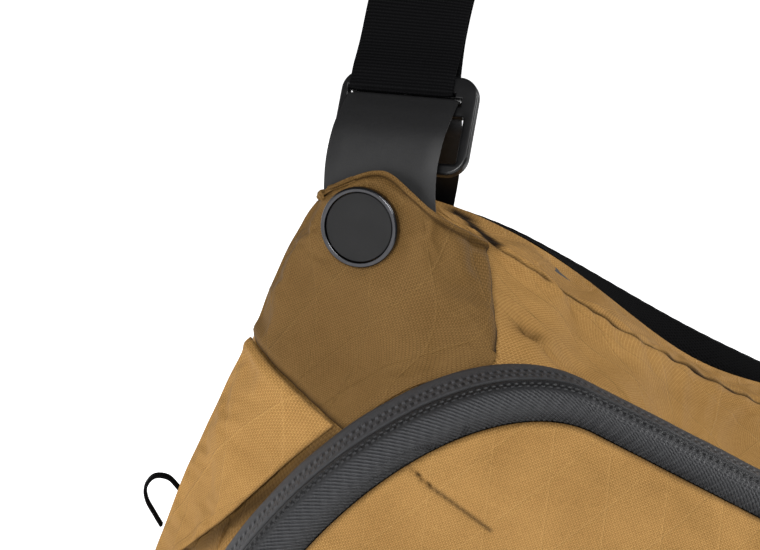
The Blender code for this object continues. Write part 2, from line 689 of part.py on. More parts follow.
def build_strap():
    arch = Arch()
    front = WEB_PLY_GAP / 2
    bend = WEB_SLOT_TOP - GAP - WEB_THICKNESS / 2
    side = FRAME_DEPTH / 2 + GAP + WEB_THICKNESS / 2
    corner_side, corner_low = side + 0.0002, side - 0.0008
    round_bar = [(side, bend + 0.0034), (corner_side, bend + 0.0012), (corner_low, bend), (0.0, bend),
                 (-corner_low, bend), (-corner_side, bend + 0.0012), (-side, bend + 0.0034)]
    converge = [(side, FRAME_TOP + 0.0006), (0.0022, 0.021), (front, 0.028)]

    def end_route(back_length):
        """Offsets (normal, arc length) from the sewn end, round the bar and back up the front."""
        back = [(-n, s) for n, s in reversed(converge)]
        steps = max(2, round((back_length - 0.028) / 0.012))
        tail = [(-front, back_length - (back_length - 0.028) * i / steps) for i in range(steps)]
        return tail + back + list(reversed(round_bar)) + converge

    left = end_route(0.055)
    right = [(n, arch.length - s) for n, s in reversed(end_route(0.146))]
    start, stop = 0.040, arch.length - 0.040
    steps = 72
    middle = [(front, start + (stop - start) * i / steps) for i in range(steps + 1)]
    route = left + middle + right

    places = []
    for n, s in route:
        centre, across, normal = arch.frame(s)
        places.append((centre + normal * n, across))
    stations = []
    for index, (centre, across) in enumerate(places):
        ahead = places[min(index + 1, len(places) - 1)][0]
        behind = places[max(index - 1, 0)][0]
        along = (ahead - behind).normalized()
        sideways = (across - along * across.dot(along)).normalized()
        if stations and sideways.dot(stations[-1][1]) < 0:
            sideways = -sideways
        stations.append((centre, sideways, sideways.cross(along).normalized()))
    ribbon("shoulder_webbing", stations, "webbing", WEB_WIDTH, WEB_THICKNESS, spans=4)

    half = arch.length / 2
    reach = 0.125
    pad_top = front - WEB_THICKNESS / 2 - 3 * GAP

    def pad_layer(name, kind, top, depth, width, reach_here):
        rings = []
        count = 22
        for index in range(count + 1):
            share = -1 + 2 * index / count
            taper = math.sqrt(max(0.0, 1 - abs(share) ** 6))
            side = width / 2 * (0.45 + 0.55 * taper)
            centre, across, normal = arch.frame(half + reach_here * share)
            soft = depth * 0.25
            rings.append([centre + across * a + normal * n for a, n in (
                (-side, top - soft), (-side + soft, top), (side - soft, top), (side, top - soft),
                (side, top - depth + soft), (side - soft, top - depth), (-side + soft, top - depth),
                (-side, top - depth + soft))])
        return loft(name, rings, kind)

    pad_layer("shoulder_pad", "coated_tab", pad_top, 0.006, 0.058, reach)
    pad_layer("shoulder_pad_mesh", "air_mesh", pad_top - 0.006 - 4 * GAP, 0.002, 0.054, reach - 0.003)

    for name, place in (("pad_keeper_left", half - 0.085), ("pad_keeper_right", half + 0.085)):
        stations = []
        over = front + WEB_THICKNESS / 2 + GAP + 0.0006
        wide = WEB_WIDTH / 2 + 0.0046
        foot = pad_top + GAP + 0.0006
        shape = ((-wide - 0.004, foot), (-wide, foot), (-wide + 0.0022, (foot + over) / 2 + 0.0002),
                 (-WEB_WIDTH / 2 + 0.0012, over), (WEB_WIDTH / 2 - 0.0012, over),
                 (wide - 0.0022, (foot + over) / 2 + 0.0002), (wide, foot), (wide + 0.004, foot))
        centre, across, normal = arch.frame(place)
        along = across.cross(normal).normalized()
        for index, (a, n) in enumerate(shape):
            before = shape[max(index - 1, 0)]
            after = shape[min(index + 1, len(shape) - 1)]
            slope = (across * (after[0] - before[0]) + normal * (after[1] - before[1])).normalized()
            stations.append((centre + across * a + normal * n, along, slope.cross(along).normalized()))
        ribbon(name, stations, "webbing", 0.012, 0.001)

    build_tri_glide(arch)


def build_tri_glide(arch):
    """The length adjuster on the right: a two-bar plate in front and a bar behind both plies."""
    centre, across, normal = arch.frame(arch.length - 0.122)
    along = across.cross(normal).normalized()
    slack = 0.001
    half_wide = WEB_WIDTH / 2 + slack
    rail = 0.0035
    depth = 0.0022
    front_of_plies = WEB_PLY_GAP / 2 + WEB_THICKNESS / 2 + slack
    outer = rounded_box_loop(-half_wide - rail, half_wide + rail, -0.0115, 0.0115, 0.004)
    inner = rounded_box_loop(-half_wide, half_wide, -0.0075, 0.0075, 0.0015, 2)
    glide = outline_plate("tri_glide", [outer, inner], depth, "black_plastic",
                          centre + normal * (front_of_plies + depth / 2), across, along)
    back = -front_of_plies
    top = front_of_plies + depth * 0.6
    side = half_wide + rail * 0.8
    bracket = [(-side, back - depth), (side, back - depth), (side, top), (half_wide, top),
               (half_wide, back), (-half_wide, back), (-half_wide, top), (-side, top)]
    yoke = outline_plate("glide_yoke", [bracket], 0.0046, "black_plastic", centre, across, normal)
    bpy.data.collections[COLLECTION].objects.unlink(yoke)
    bpy.data.collections[CUTTERS].objects.link(yoke)
    yoke.display_type = "WIRE"
    yoke.hide_render = True
    joined = glide.modifiers.new("yoke", "BOOLEAN")
    joined.object = yoke
    joined.operation = "UNION"
    joined.solver = "EXACT"


# ---------------------------------------------------------------- zip sliders

def zip_height(x):
    """Height of the zipper line above the base at x on the bag's right shoulder."""
    _, _, _, centre_x, centre_z, width, height, power, _ = ZIP_LINE.values
    share = max(0.0, (x - centre_x) / width)
    return centre_z + height * (1 - share ** power) ** (1 / power)


def build_sliders():
    """Two sliders parked on the zipper's right shoulder, each with a pull hung from its bridge."""
    lift = 0.0012
    for name, x in (("left", SLIDER_LEFT_X), ("right", SLIDER_RIGHT_X)):
        slope = (zip_height(x + 0.006) - zip_height(x - 0.006)) / 0.012
        z = zip_height(x)
        slider = block("zip_slider_" + name, (-0.006, -0.0042, lift), (0.006, 0.0042, lift + 0.0034),
                       "dark_metal", bevel=0.001)
        slider.rotation_euler = (math.radians(28), -math.atan(slope), 0.0)
        slider.location = (x, ZIP_Y, z)
        route = smooth_row([Vector((x, y, z + rise)) for y, rise in (
            (-0.0535, 0.0065), (-0.0590, 0.0050), (-0.0645, 0.0005), (-0.0680, -0.0075),
            (-0.0694, -0.0190), (-0.0698, -0.0320))], 3)
        across = Vector((1.0, 0.0, 0.0))
        stations = []
        for index, centre in enumerate(route):
            ahead = route[min(index + 1, len(route) - 1)]
            behind = route[max(index - 1, 0)]
            stations.append((centre, across, across.cross((ahead - behind).normalized())))
        ribbon("zip_pull_" + name, stations, "coated_tab", 0.009, 0.0016)


def main():
    start_scene()
    build_body()
    build_pod()
    build_wings()
    build_anchor_tab()
    build_frames()
    build_discs()
    build_gear_loops()
    build_strap()
    build_sliders()


main()
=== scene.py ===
import math
import bmesh
import bpy
import numpy as np
from mathutils import Matrix, Vector


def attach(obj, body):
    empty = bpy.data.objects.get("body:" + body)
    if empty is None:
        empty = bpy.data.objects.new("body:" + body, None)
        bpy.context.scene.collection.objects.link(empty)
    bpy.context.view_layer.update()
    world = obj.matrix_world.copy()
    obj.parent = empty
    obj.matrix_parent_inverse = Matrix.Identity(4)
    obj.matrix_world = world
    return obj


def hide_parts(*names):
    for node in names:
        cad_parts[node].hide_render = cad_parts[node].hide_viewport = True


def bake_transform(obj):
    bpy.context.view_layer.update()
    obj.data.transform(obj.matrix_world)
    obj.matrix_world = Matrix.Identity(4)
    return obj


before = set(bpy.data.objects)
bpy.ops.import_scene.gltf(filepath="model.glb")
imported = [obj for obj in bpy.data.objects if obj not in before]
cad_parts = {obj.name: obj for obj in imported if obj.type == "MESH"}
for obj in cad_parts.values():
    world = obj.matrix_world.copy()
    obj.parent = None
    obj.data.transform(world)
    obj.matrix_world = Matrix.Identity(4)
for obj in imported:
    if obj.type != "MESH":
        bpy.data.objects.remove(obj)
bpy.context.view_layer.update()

# Metres, +Z up, the front of the bag faces -Y. Driving dimensions repeat the CAD model's.
MM = 0.001
GAP = 0.3 * MM
FABRIC = 1.4 * MM
WING_THICKNESS = 1.6 * MM
FABRIC_END_Y = 0.025
BACK_Y = 0.040
POD_Y = -0.034
ZIP_Y = -0.050
LID_Y = -0.060
WEAVE = 0.75                      # millimetres between two yarns of the shell fabric

BAR_CENTRE = Vector((-0.1530, 0.0090, 0.2529))
STRAP_DIRECTION = Vector((-0.236, 0.534, 0.812)).normalized()
STRAP_NORMAL = Vector((-0.5115, -0.7788, 0.3631))
CORNER_NORMAL = Vector((-0.38, -0.92, -0.03)).normalized()
DISC_CENTRE = Vector((-0.1486, -0.0187, 0.2121))

CAMERA_PLACE = Vector((-0.31873, -1.06921, 0.50399))
CAMERA_RIGHT = Vector((0.8768, -0.01466, 0.48063))
CAMERA_UP = Vector((-0.45095, 0.32191, 0.83248))
CAMERA_BACK = Vector((-0.1669, -0.9466, 0.2756))
LENS = 139.1

# Outlines in XZ: base, low_x, low_z, centre_x, centre_z, width, height, power, middle_z.
RIDGE = np.array((0.0, 0.1555, 0.095, 0.144, 0.204, 0.020, 0.0225, 2.0, 0.2165))
STRIP = np.array((0.0, 0.153, 0.075, 0.084, 0.189, 0.077, 0.0369, 2.1, 0.2146))
BACK = np.array((0.0, 0.1475, 0.060, 0.0775, 0.1915, 0.0780, 0.0312, 1.87, 0.2204))
POD_ROOT = np.array((0.0, 0.131, 0.046, 0.050, 0.060, 0.082, 0.139, 1.95, 0.199))
BAND_OUTER = np.array((0.0, 0.1355, 0.046, 0.050, 0.060, 0.0865, 0.144, 1.95, 0.204))
ZIP_LINE = np.array((0.002, 0.1335, 0.046, 0.048, 0.060, 0.086, 0.145, 1.85, 0.205))
BAND_INNER = np.array((0.010, 0.118, 0.046, 0.042, 0.060, 0.076, 0.134, 1.9, 0.194))


# ---------------------------------------------------------------- outlines and grids

def mix(a, b, share):
    return a + (b - a) * share


def inset(outline, amount):
    base, low_x, low_z, centre_x, centre_z, width, height, power, middle_z = outline
    return np.array((base + amount, low_x - amount, low_z, centre_x, centre_z,
                     width - amount, height - amount, power, middle_z - amount))


BASE_STEPS, CORNER_STEPS, SIDE_STEPS, SHOULDER_STEPS, TOP_STEPS = 40, 40, 60, 160, 80
SEAM_INDEX = BASE_STEPS + CORNER_STEPS      # where the zip ends, at the top of the lower corner


def half_outline(outline):
    """Dense points (x, z) of the +X half, from the middle of the base to the middle of the top."""
    base, low_x, low_z, centre_x, centre_z, width, height, power, middle_z = outline
    radius = low_z - base
    floor = np.linspace(0, 1, BASE_STEPS, endpoint=False)
    parts = [np.stack([(low_x - radius) * floor, base + 0 * floor], 1)]
    angle = np.radians(90) * np.linspace(0, 1, CORNER_STEPS, endpoint=False)
    parts.append(np.stack([low_x - radius + radius * np.sin(angle), low_z - radius * np.cos(angle)], 1))
    rise = np.linspace(0, 1, SIDE_STEPS, endpoint=False)
    parts.append(np.stack([low_x + (centre_x + width - low_x) * rise,
                           low_z + (centre_z - low_z) * rise], 1))
    angle = np.radians(90) * np.linspace(0, 1, SHOULDER_STEPS, endpoint=False)
    parts.append(np.stack([centre_x + width * np.cos(angle) ** (2 / power),
                           centre_z + height * np.sin(angle) ** (2 / power)], 1))
    share = 1 - np.linspace(0, 1, TOP_STEPS)
    parts.append(np.stack([centre_x * share,
                           middle_z + (centre_z + height - middle_z) * share ** 2 * (3 - 2 * share)], 1))
    return np.concatenate(parts)


def ring_places(outline, step, first=0, last=None):
    """Evenly spaced places along an outline's right half, as positions in its dense list."""
    points = half_outline(outline)[first:last]
    lengths = np.concatenate([[0], np.cumsum(np.linalg.norm(np.diff(points, axis=0), axis=1))])
    count = max(3, int(lengths[-1] / step))
    wanted = np.linspace(0, lengths[-1], count + 1)
    return first + np.interp(wanted, lengths, np.arange(len(points)))


def ring(outline, y, places, whole=True):
    """Points (n, 3) of the outline at depth y; whole adds the left half and closes the ring."""
    dense = half_outline(outline)
    index = np.arange(len(dense))
    x = np.interp(places, index, dense[:, 0])
    z = np.interp(places, index, dense[:, 1])
    right = np.stack([x, np.full_like(x, y), z], 1)
    left = right[::-1] * (-1, 1, 1)
    if whole:
        return np.concatenate([right, left[1:-1]])
    return np.concatenate([right, left[1:]])


def rings(rows, places, whole=True):
    """A grid of rings, from rows of an outline's nine numbers with their depth y last."""
    return np.array([ring(row[:-1], row[-1], places, whole) for row in rows])


def catmull_rom(a, b, c, d, t):
    return 0.5 * (2 * b + (c - a) * t + (2 * a - 5 * b + 4 * c - d) * t * t
                  + (3 * b - a - 3 * c + d) * t ** 3)


def spline(points, steps):
    """A Catmull-Rom curve through an array of points along its first axis."""
    points = np.asarray(points, float)
    ends = np.concatenate([[points[0] * 2 - points[1]], points, [points[-1] * 2 - points[-2]]])
    result = [catmull_rom(*ends[index - 1:index + 3], step / steps)
              for index in range(1, len(ends) - 2) for step in range(steps)]
    return np.array(result + [points[-1]])


def through(keys, steps):
    """Outlines with their depths, on a smooth curve through the (outline, y) keys."""
    return spline([np.append(outline, y) for outline, y in keys], steps)


def normals(grid, closed=False):
    """Unit normals of a grid of points (rows, columns, 3): the cross of column and row directions."""
    if closed:
        across = np.roll(grid, -1, 1) - np.roll(grid, 1, 1)
    else:
        across = np.gradient(grid, axis=1)
    down = np.gradient(grid, axis=0)
    found = np.cross(across, down)
    length = np.linalg.norm(found, axis=2, keepdims=True)
    return found / np.maximum(length, 1e-12)


def flat_lengths(grid, closed=False):
    """Distances in millimetres along the rows and down the columns, for the weave's UV map."""
    along = np.linalg.norm(np.diff(grid, axis=1), axis=2).mean(0)
    down = np.linalg.norm(np.diff(grid, axis=0), axis=2).mean(1)
    u = np.concatenate([[0], np.cumsum(along)]) * 1000
    v = np.concatenate([[0], np.cumsum(down)]) * 1000
    if closed:
        seam = np.linalg.norm(grid[:, 0] - grid[:, -1], axis=1).mean() * 1000
        u = np.append(u, u[-1] + seam)
    return u, v


INSIDE = np.array((0.0, 0.0, 0.100))         # a point inside the bag, which every panel faces away from


def outward(grid, closed=False):
    """Unit normals that point away from the inside of the bag."""
    normal = normals(grid, closed)
    return normal if (normal * (grid - INSIDE)).sum() > 0 else -normal


# ---------------------------------------------------------------- meshes and pieces

def point_numbers(rows, columns, closed=False, looped=False):
    """Numbers of a grid's points; a closed grid repeats its first column, a looped one its first row."""
    return np.pad(np.arange(rows * columns).reshape(rows, columns), ((0, looped), (0, closed)), "wrap")


def cells(grid):
    """The four corners of each cell of a grid, in order round the cell."""
    corners = np.stack([grid[:-1, :-1], grid[:-1, 1:], grid[1:, 1:], grid[1:, :-1]], 2)
    return corners.reshape(-1, 4, *grid.shape[2:])


def turn_outwards(mesh, weld=0.0):
    tidy = bmesh.new()
    tidy.from_mesh(mesh)
    if weld:
        bmesh.ops.remove_doubles(tidy, verts=tidy.verts, dist=weld)
    bmesh.ops.recalc_face_normals(tidy, faces=tidy.faces)
    tidy.to_mesh(mesh)
    tidy.free()
    return mesh


def new_mesh(name, points, faces, uvs=None, weld=0.0):
    """A mesh with its faces turned outwards and, where uvs are given, the weave's UV map."""
    mesh = bpy.data.meshes.new(name)
    mesh.from_pydata([tuple(p) for p in points.reshape(-1, 3)], [], [tuple(map(int, f)) for f in faces])
    if uvs is not None:
        mesh.uv_layers.new(name="weave").data.foreach_set("uv", np.array(uvs, np.float32).ravel())
    return turn_outwards(mesh, weld)


def new_object(name, data):
    obj = bpy.data.objects.new(name, data)
    bpy.context.scene.collection.objects.link(obj)
    return obj


def finish_piece(name, mesh, smooth_angle=50):
    mesh.shade_smooth()
    mesh.set_sharp_from_angle(angle=math.radians(smooth_angle))
    return new_object(name, mesh)


def evaluated_mesh(obj):
    """The object's mesh with its modifiers applied; the object itself goes."""
    bpy.context.view_layer.update()
    graph = bpy.context.evaluated_depsgraph_get()
    mesh = bpy.data.meshes.new_from_object(obj.evaluated_get(graph))
    bpy.data.objects.remove(obj, do_unlink=True)
    return mesh


def axes_matrix(x, y, z, origin):
    return Matrix([(*x, 0.0), (*y, 0.0), (*z, 0.0), (*origin, 1.0)]).transposed()


def sheet_piece(name, grid, thickness, closed=False, shadow=None):
    """A cloth piece: the grid is its outer face, with an inner face behind it and folded rims.

    shadow, from 0 to 1 at each grid point, darkens the cloth down in its seams."""
    rows, columns = grid.shape[:2]
    half = rows * columns
    numbers = point_numbers(rows, columns, closed)
    flat = np.stack(np.meshgrid(*flat_lengths(grid, closed)), 2)
    inner = [1, 2, 3, 0]
    faces = [cells(numbers)[:, ::-1], half + cells(numbers)[:, inner]]
    uvs = [cells(flat)[:, ::-1], cells(flat)[:, inner]]
    rim = thickness * 1000
    rims = [(numbers[0], flat[0], (0, rim), 1), (numbers[-1], flat[-1], (0, rim), -1)]
    if not closed:
        rims += [(numbers[:, 0], flat[:, 0], (rim, 0), -1), (numbers[:, -1], flat[:, -1], (rim, 0), 1)]
    for line, places, away, way in rims:
        faces.append(cells(np.stack([line, half + line]))[:, ::way])
        uvs.append(cells(np.stack([places, places + away]))[:, ::way])
    points = np.stack([grid, grid - outward(grid, closed) * thickness])
    mesh = new_mesh(name, points, np.concatenate(faces), np.concatenate(uvs))
    if shadow is not None:
        layer = mesh.attributes.new("shadow", "FLOAT", "POINT")
        layer.data.foreach_set("value", np.tile(np.clip(shadow, 0, 1).ravel(), 2).astype(np.float32))
    return finish_piece(name, mesh)


def twin(obj, name):
    """The same piece on the other side of the bag."""
    mesh = obj.data.copy()
    mesh.transform(Matrix.Diagonal((-1.0, 1.0, 1.0, 1.0)))
    mesh.flip_normals()
    mesh.name = name
    return new_object(name, mesh)


def wear(obj, material):
    obj.data.materials.clear()
    obj.data.materials.append(material)


def place(obj, body, slot, *nodes):
    """Give a finished piece its body and hide the CAD nodes it stands for. The slot is not used."""
    if nodes:
        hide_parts(*nodes)
    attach(obj, body)


def place_pair(left, material, body, slot, node):
    """Place a left-hand piece and its mirror image."""
    wear(left, material)
    right = twin(left, left.name.replace("_left", "_right"))
    place(left, body, slot, node + "_left")
    place(right, body, slot, node + "_right")


# ---------------------------------------------------------------- materials

class Paint:
    """A procedural material: a Principled shader with a few node helpers."""

    def __init__(self, name, colour, roughness, metallic=0.0, **extra):
        self.material = bpy.data.materials.new(name)
        self.material.use_nodes = True
        self.tree = self.material.node_tree
        self.shader = self.tree.nodes["Principled BSDF"]
        self.set(self.shader, "Base Color", (*colour, 1.0))
        self.set(self.shader, "Roughness", roughness)
        self.set(self.shader, "Metallic", metallic)
        for key, value in extra.items():
            self.set(self.shader, key.replace("_", " "), value)
        self.height = None

    def set(self, node, socket, value):
        target = node.inputs[socket]
        if isinstance(value, bpy.types.NodeSocket):
            self.tree.links.new(value, target)
        else:
            target.default_value = value

    def node(self, kind, settings, inputs, output=0):
        """One output of a new node, with its settings by name and its inputs by name or number."""
        made = self.tree.nodes.new("ShaderNode" + kind)
        for key, value in settings.items():
            setattr(made, key, value)
        for key, value in inputs.items():
            self.set(made, key, value)
        return made.outputs[output]

    def math(self, operation, *values):
        return self.node("Math", {"operation": operation}, dict(enumerate(values)))

    def times(self, a, b):
        return self.math("MULTIPLY", a, b)

    def times_plus(self, a, b, c):
        return self.math("MULTIPLY_ADD", a, b, c)

    def split(self, vector):
        first = self.node("SeparateXYZ", {}, {0: vector})
        return tuple(first.node.outputs)

    def uv(self):
        return self.split(self.node("UVMap", {"uv_map": "weave"}, {}))

    def object_mm(self):
        place_in_object = self.node("TexCoord", {}, {}, "Object")
        return self.node("VectorMath", {"operation": "SCALE"}, {0: place_in_object, "Scale": 1000.0})

    def noise(self, scale, detail=2.0, rough=0.5):
        """Noise over the object's own millimetres."""
        return self.node("TexNoise", {}, {"Vector": self.object_mm(), "Scale": scale, "Detail": detail,
                                          "Roughness": rough})

    def wave(self, value, period, phase=0.0):
        """A sine from 0 to 1 with the period of the value."""
        turned = self.times_plus(value, 2 * math.pi / period, phase)
        return self.times_plus(self.math("SINE", turned), 0.5, 0.5)

    def bell(self, value, width):
        """1 where the value is 0, falling to 0 away from it."""
        away = self.math("DIVIDE", value, width)
        return self.math("EXPONENT", self.times(self.times(away, away), -1.0))

    def line(self, value, period, width):
        """Raised lines: 1 on a line and 0 away from it."""
        return self.bell(self.math("PINGPONG", value, period / 2), width)

    def near(self, value, middle, width):
        return self.bell(self.math("SUBTRACT", value, middle), width)

    def ramp(self, value, low, high):
        return self.node("MapRange", {}, {0: value, 1: low, 2: high})

    def shade(self, dark, light, share):
        """A colour between two, which are given as red, green and blue or come from other nodes."""
        dark, light = ((*c, 1.0) if isinstance(c, tuple) else c for c in (dark, light))
        return self.node("Mix", {"data_type": "RGBA"}, {0: share, 6: dark, 7: light}, 2)

    def darken(self, colour, dark):
        """The colour with the dark one laid in as painted shade, where the mesh's shadow attribute marks
        seams and gaps.
        """
        return self.shade(colour, dark, self.node("Attribute", {"attribute_name": "shadow"}, {}, 2))

    def add_height(self, value, amount_mm):
        scaled = self.times(value, amount_mm * MM)
        self.height = scaled if self.height is None else self.math("ADD", self.height, scaled)

    def finish(self, colour, roughness=None):
        """Lay on the colour, the roughness and the gathered height, and hand the material over."""
        self.set(self.shader, "Base Color", colour)
        if roughness is not None:
            self.set(self.shader, "Roughness", roughness)
        bump = self.node("Bump", {}, {"Strength": 1.0, "Distance": 1.0, "Height": self.height})
        self.set(self.shader, "Normal", bump)
        return self.material


PLY_SLOPE, PLY_SPACING, PLY_WIDTH = 0.42, 24.0, 0.42        # the raised yarns, in mm
# FABRIC_SEAM_SHADE is painted shade. The shadow attribute lays it into the cloth's seams and gaps.
FABRIC_DARK, FABRIC_LIGHT, FABRIC_SEAM_SHADE = (0.19, 0.096, 0.024), (0.60, 0.345, 0.118), (0.012, 0.006, 0.002)
TAPE_DARK, TAPE_LIGHT, TAPE_LIGHT_LID = (0.003, 0.003, 0.0035), (0.078, 0.079, 0.085), (0.050, 0.051, 0.055)
STITCH_PITCH = 2.9                                          # along a stitch row of the band, in mm
BROAD_PITCH, BROAD_SLANT = 2.1, 1.1                         # the lid band's slanting ribs, in mm
# Stitch rows beside the zipper line, in mm; the body side is seen at a slant and has them wider.
STITCH_ROWS = {True: (2.1, 3.6), False: (3.6, 6.8)}


def shell_fabric(name, turn=0.0, offset=0.0, shade=1.0):
    """Tan laminate: plain weave, a fine sheen, and raised yarns that cross in long diamonds; shade below 1 is
    painted shade over the whole colour.
    """
    paint = Paint(name, (0.5, 0.31, 0.12), 0.62, Specular_IOR_Level=0.09)
    times, times_plus = paint.times, paint.times_plus
    u, v, _ = paint.uv()
    cosine, sine = math.cos(turn), math.sin(turn)
    a = paint.math("ADD", times(u, cosine), times(v, sine))
    b = paint.math("SUBTRACT", times(v, cosine), times(u, sine))
    weave = times(paint.wave(a, WEAVE), paint.wave(b, WEAVE))
    yarn_a, yarn_b = (paint.math("SINE", times(way, math.pi / WEAVE)) for way in (a, b))
    over = paint.math("GREATER_THAN", times(yarn_a, yarn_b), 0.0)
    tone = times_plus(over, 0.28, times(weave, 0.72))
    cloud = paint.noise(0.035, 3.0)
    grain = paint.noise(1.3, 1.0)
    share = paint.math("ADD", times_plus(cloud, 0.4, -0.05), times_plus(grain, 0.3, -0.15))
    share = paint.math("ADD", share, times(tone, 0.62))
    for slope in (PLY_SLOPE, -PLY_SLOPE):
        route = paint.math("ADD", times_plus(b, slope, offset), a)
        raised = paint.line(route, PLY_SPACING, PLY_WIDTH)
        paint.add_height(raised, 0.26)
        share = times_plus(raised, 0.12, share)
    for part, amount in ((weave, 0.09), (over, 0.02), (grain, 0.05)):
        paint.add_height(part, amount)
    # shade dims both colours: painted shade for panels that are darker only through the light.
    base = paint.shade(*(tuple(shade * c for c in colour) for colour in (FABRIC_DARK, FABRIC_LIGHT)), share)
    # Painted shade in FABRIC_SEAM_SHADE goes into the seams and gaps that the shadow attribute marks.
    return paint.finish(paint.darken(base, FABRIC_SEAM_SHADE), times_plus(weave, -0.14, 0.68))


def zip_tape(name, lid_side, zip_edge):
    """Coated zipper tape: fine ribs across it, and broad slanting ribs on the lid side.

    zip_edge is the place of the zipper line across the tape, in mm."""
    paint = Paint(name, (0.07, 0.072, 0.08), 0.5, Specular_IOR_Level=0.35)
    times, times_plus = paint.times, paint.times_plus
    u, v, _ = paint.uv()
    fine = paint.wave(times_plus(v, 0.9, u), 0.62)
    paint.add_height(fine, 0.05)
    tone = times(fine, 0.45)
    if lid_side:
        broad = paint.wave(times_plus(v, BROAD_SLANT, u), BROAD_PITCH)
        broad = times(broad, paint.ramp(v, 5.2, 7.5))
        paint.add_height(broad, 0.4)
        tone = times_plus(broad, 0.7, times(tone, 0.6))
    grain = paint.noise(1.1)
    paint.add_height(grain, 0.03)
    tone = times_plus(grain, 0.4, tone)
    from_zip = paint.math("ABSOLUTE", paint.math("SUBTRACT", v, zip_edge))
    for offset, phase in zip(STITCH_ROWS[lid_side], (0.0, math.pi)):
        stitch = times(paint.near(from_zip, offset, 0.5 if lid_side else 0.95),
                       paint.ramp(paint.wave(u, STITCH_PITCH, phase), 0.3, 0.7))
        paint.add_height(stitch, 0.3)
        tone = times_plus(paint.near(from_zip, offset, 1.0), -0.3, tone)
        tone = times_plus(stitch, 0.6, tone)
    tone = times(tone, paint.ramp(from_zip, 0.25, 0.8))
    base = paint.shade(TAPE_DARK, TAPE_LIGHT_LID if lid_side else TAPE_LIGHT, tone)
    # The shadow attribute lays painted shade, in TAPE_DARK, along the lid band's inner edge.
    return paint.finish(paint.darken(base, TAPE_DARK), times_plus(grain, 0.25, 0.38))


def coated(name):
    """Rubber-coated fabric: satin, nearly smooth, with a faint fabric print-through."""
    paint = Paint(name, (0.01, 0.01, 0.0105), 0.5, Specular_IOR_Level=0.3)
    fine = paint.noise(1.8, 3.0, 0.6)
    paint.add_height(fine, 0.035)
    paint.add_height(paint.noise(0.05), 0.5)
    tone = paint.math("ADD", fine, -0.05)
    return paint.finish(paint.shade((0.005, 0.005, 0.0053), (0.014, 0.014, 0.0148), tone),
                        paint.times_plus(fine, 0.2, 0.42))


def webbing_paint(name, pitch=1.35):
    """Woven webbing: ribs across it, split into yarns along it."""
    paint = Paint(name, (0.003, 0.003, 0.0035), 0.85, Specular_IOR_Level=0.05)
    u, v, _ = paint.uv()
    lift = paint.times(paint.wave(u, pitch), paint.times_plus(paint.wave(v, 1.15), 0.5, 0.5))
    grain = paint.noise(1.6)
    paint.add_height(lift, 0.12)
    paint.add_height(grain, 0.05)
    tone = paint.times_plus(grain, 0.35, paint.times(lift, 0.65))
    return paint.finish(paint.shade((0.0005, 0.0005, 0.0007), (0.0045, 0.0045, 0.005), tone),
                        paint.times_plus(lift, -0.15, 0.8))


def moulded(name, colour=(0.004, 0.004, 0.0044), texture=0.02, roughness=0.42):
    """Moulded plastic: fine mould texture with slightly polished patches."""
    paint = Paint(name, colour, roughness, Specular_IOR_Level=0.35)
    broad = paint.noise(0.12)
    paint.add_height(paint.noise(3.0, 3.0, 0.65), texture)
    dark, light = (tuple(scale * c for c in colour) for scale in (0.7, 1.5))
    return paint.finish(paint.shade(dark, light, broad), paint.times_plus(broad, 0.18, roughness - 0.09))


def metal(name, colour, roughness):
    """Dark plated metal with faint turning marks and handling wear."""
    paint = Paint(name, colour, roughness, 1.0)
    fine = paint.noise(2.2, 3.0, 0.7)
    paint.add_height(fine, 0.006)
    light = tuple(1.35 * c for c in colour)
    return paint.finish(paint.shade(colour, light, paint.noise(0.25)),
                        paint.times_plus(fine, 0.12, roughness - 0.05))


def spacer_mesh(name):
    """Black spacer mesh: staggered round holes in a knitted face."""
    paint = Paint(name, (0.003, 0.003, 0.003), 0.9, Specular_IOR_Level=0.05)
    u, v, _ = paint.uv()
    holes = [paint.times(paint.wave(u, 2.4, phase), paint.wave(v, 2.1, phase)) for phase in (0.0, math.pi)]
    hole = paint.ramp(paint.math("MAXIMUM", *holes), 0.45, 0.85)
    grain = paint.noise(1.4)
    paint.add_height(hole, -0.7)
    paint.add_height(grain, 0.08)
    tone = paint.math("SUBTRACT", paint.times_plus(grain, 0.5, 0.5), hole)
    return paint.finish(paint.shade((0.0004, 0.0004, 0.0005), (0.003, 0.003, 0.0034), tone))


def plain_weave(name, dark, light, period=0.8, uv=False):
    """A plain dark weave; without a UV map it follows the object's own millimetres."""
    paint = Paint(name, light, 0.8, Sheen_Weight=0.2)
    if uv:
        u, v, _ = paint.uv()
    else:
        u, _, v = paint.split(paint.object_mm())
    lift = paint.times(paint.wave(u, period), paint.wave(v, period))
    grain = paint.noise(0.9)
    paint.add_height(lift, 0.08)
    paint.add_height(grain, 0.05)
    tone = paint.times_plus(grain, 0.4, paint.times(lift, 0.6))
    return paint.finish(paint.shade(dark, light, tone))


def foam_paint(name):
    """Closed-cell foam."""
    paint = Paint(name, (0.05, 0.05, 0.052), 0.9)
    bubbles = paint.node("TexVoronoi", {}, {"Vector": paint.object_mm(), "Scale": 1.1})
    paint.add_height(bubbles, 0.3)
    return paint.finish(paint.shade((0.025, 0.025, 0.027), (0.075, 0.075, 0.078), bubbles))


# ---------------------------------------------------------------- cloth

def smooth_noise(u, v, seed, wavelengths):
    """A seeded sum of slanting sines over two length coordinates in metres."""
    rng = np.random.default_rng(seed)
    total = np.zeros(np.broadcast(u, v).shape)
    for wavelength in wavelengths:
        for _ in range(4):
            angle = rng.uniform(0, 2 * math.pi)
            phase = rng.uniform(0, 2 * math.pi)
            k = 2 * math.pi / (wavelength * rng.uniform(0.8, 1.25))
            total += np.sin(k * (u * math.cos(angle) + v * math.sin(angle)) + phase) * wavelength
    return total / (4 * sum(wavelengths))


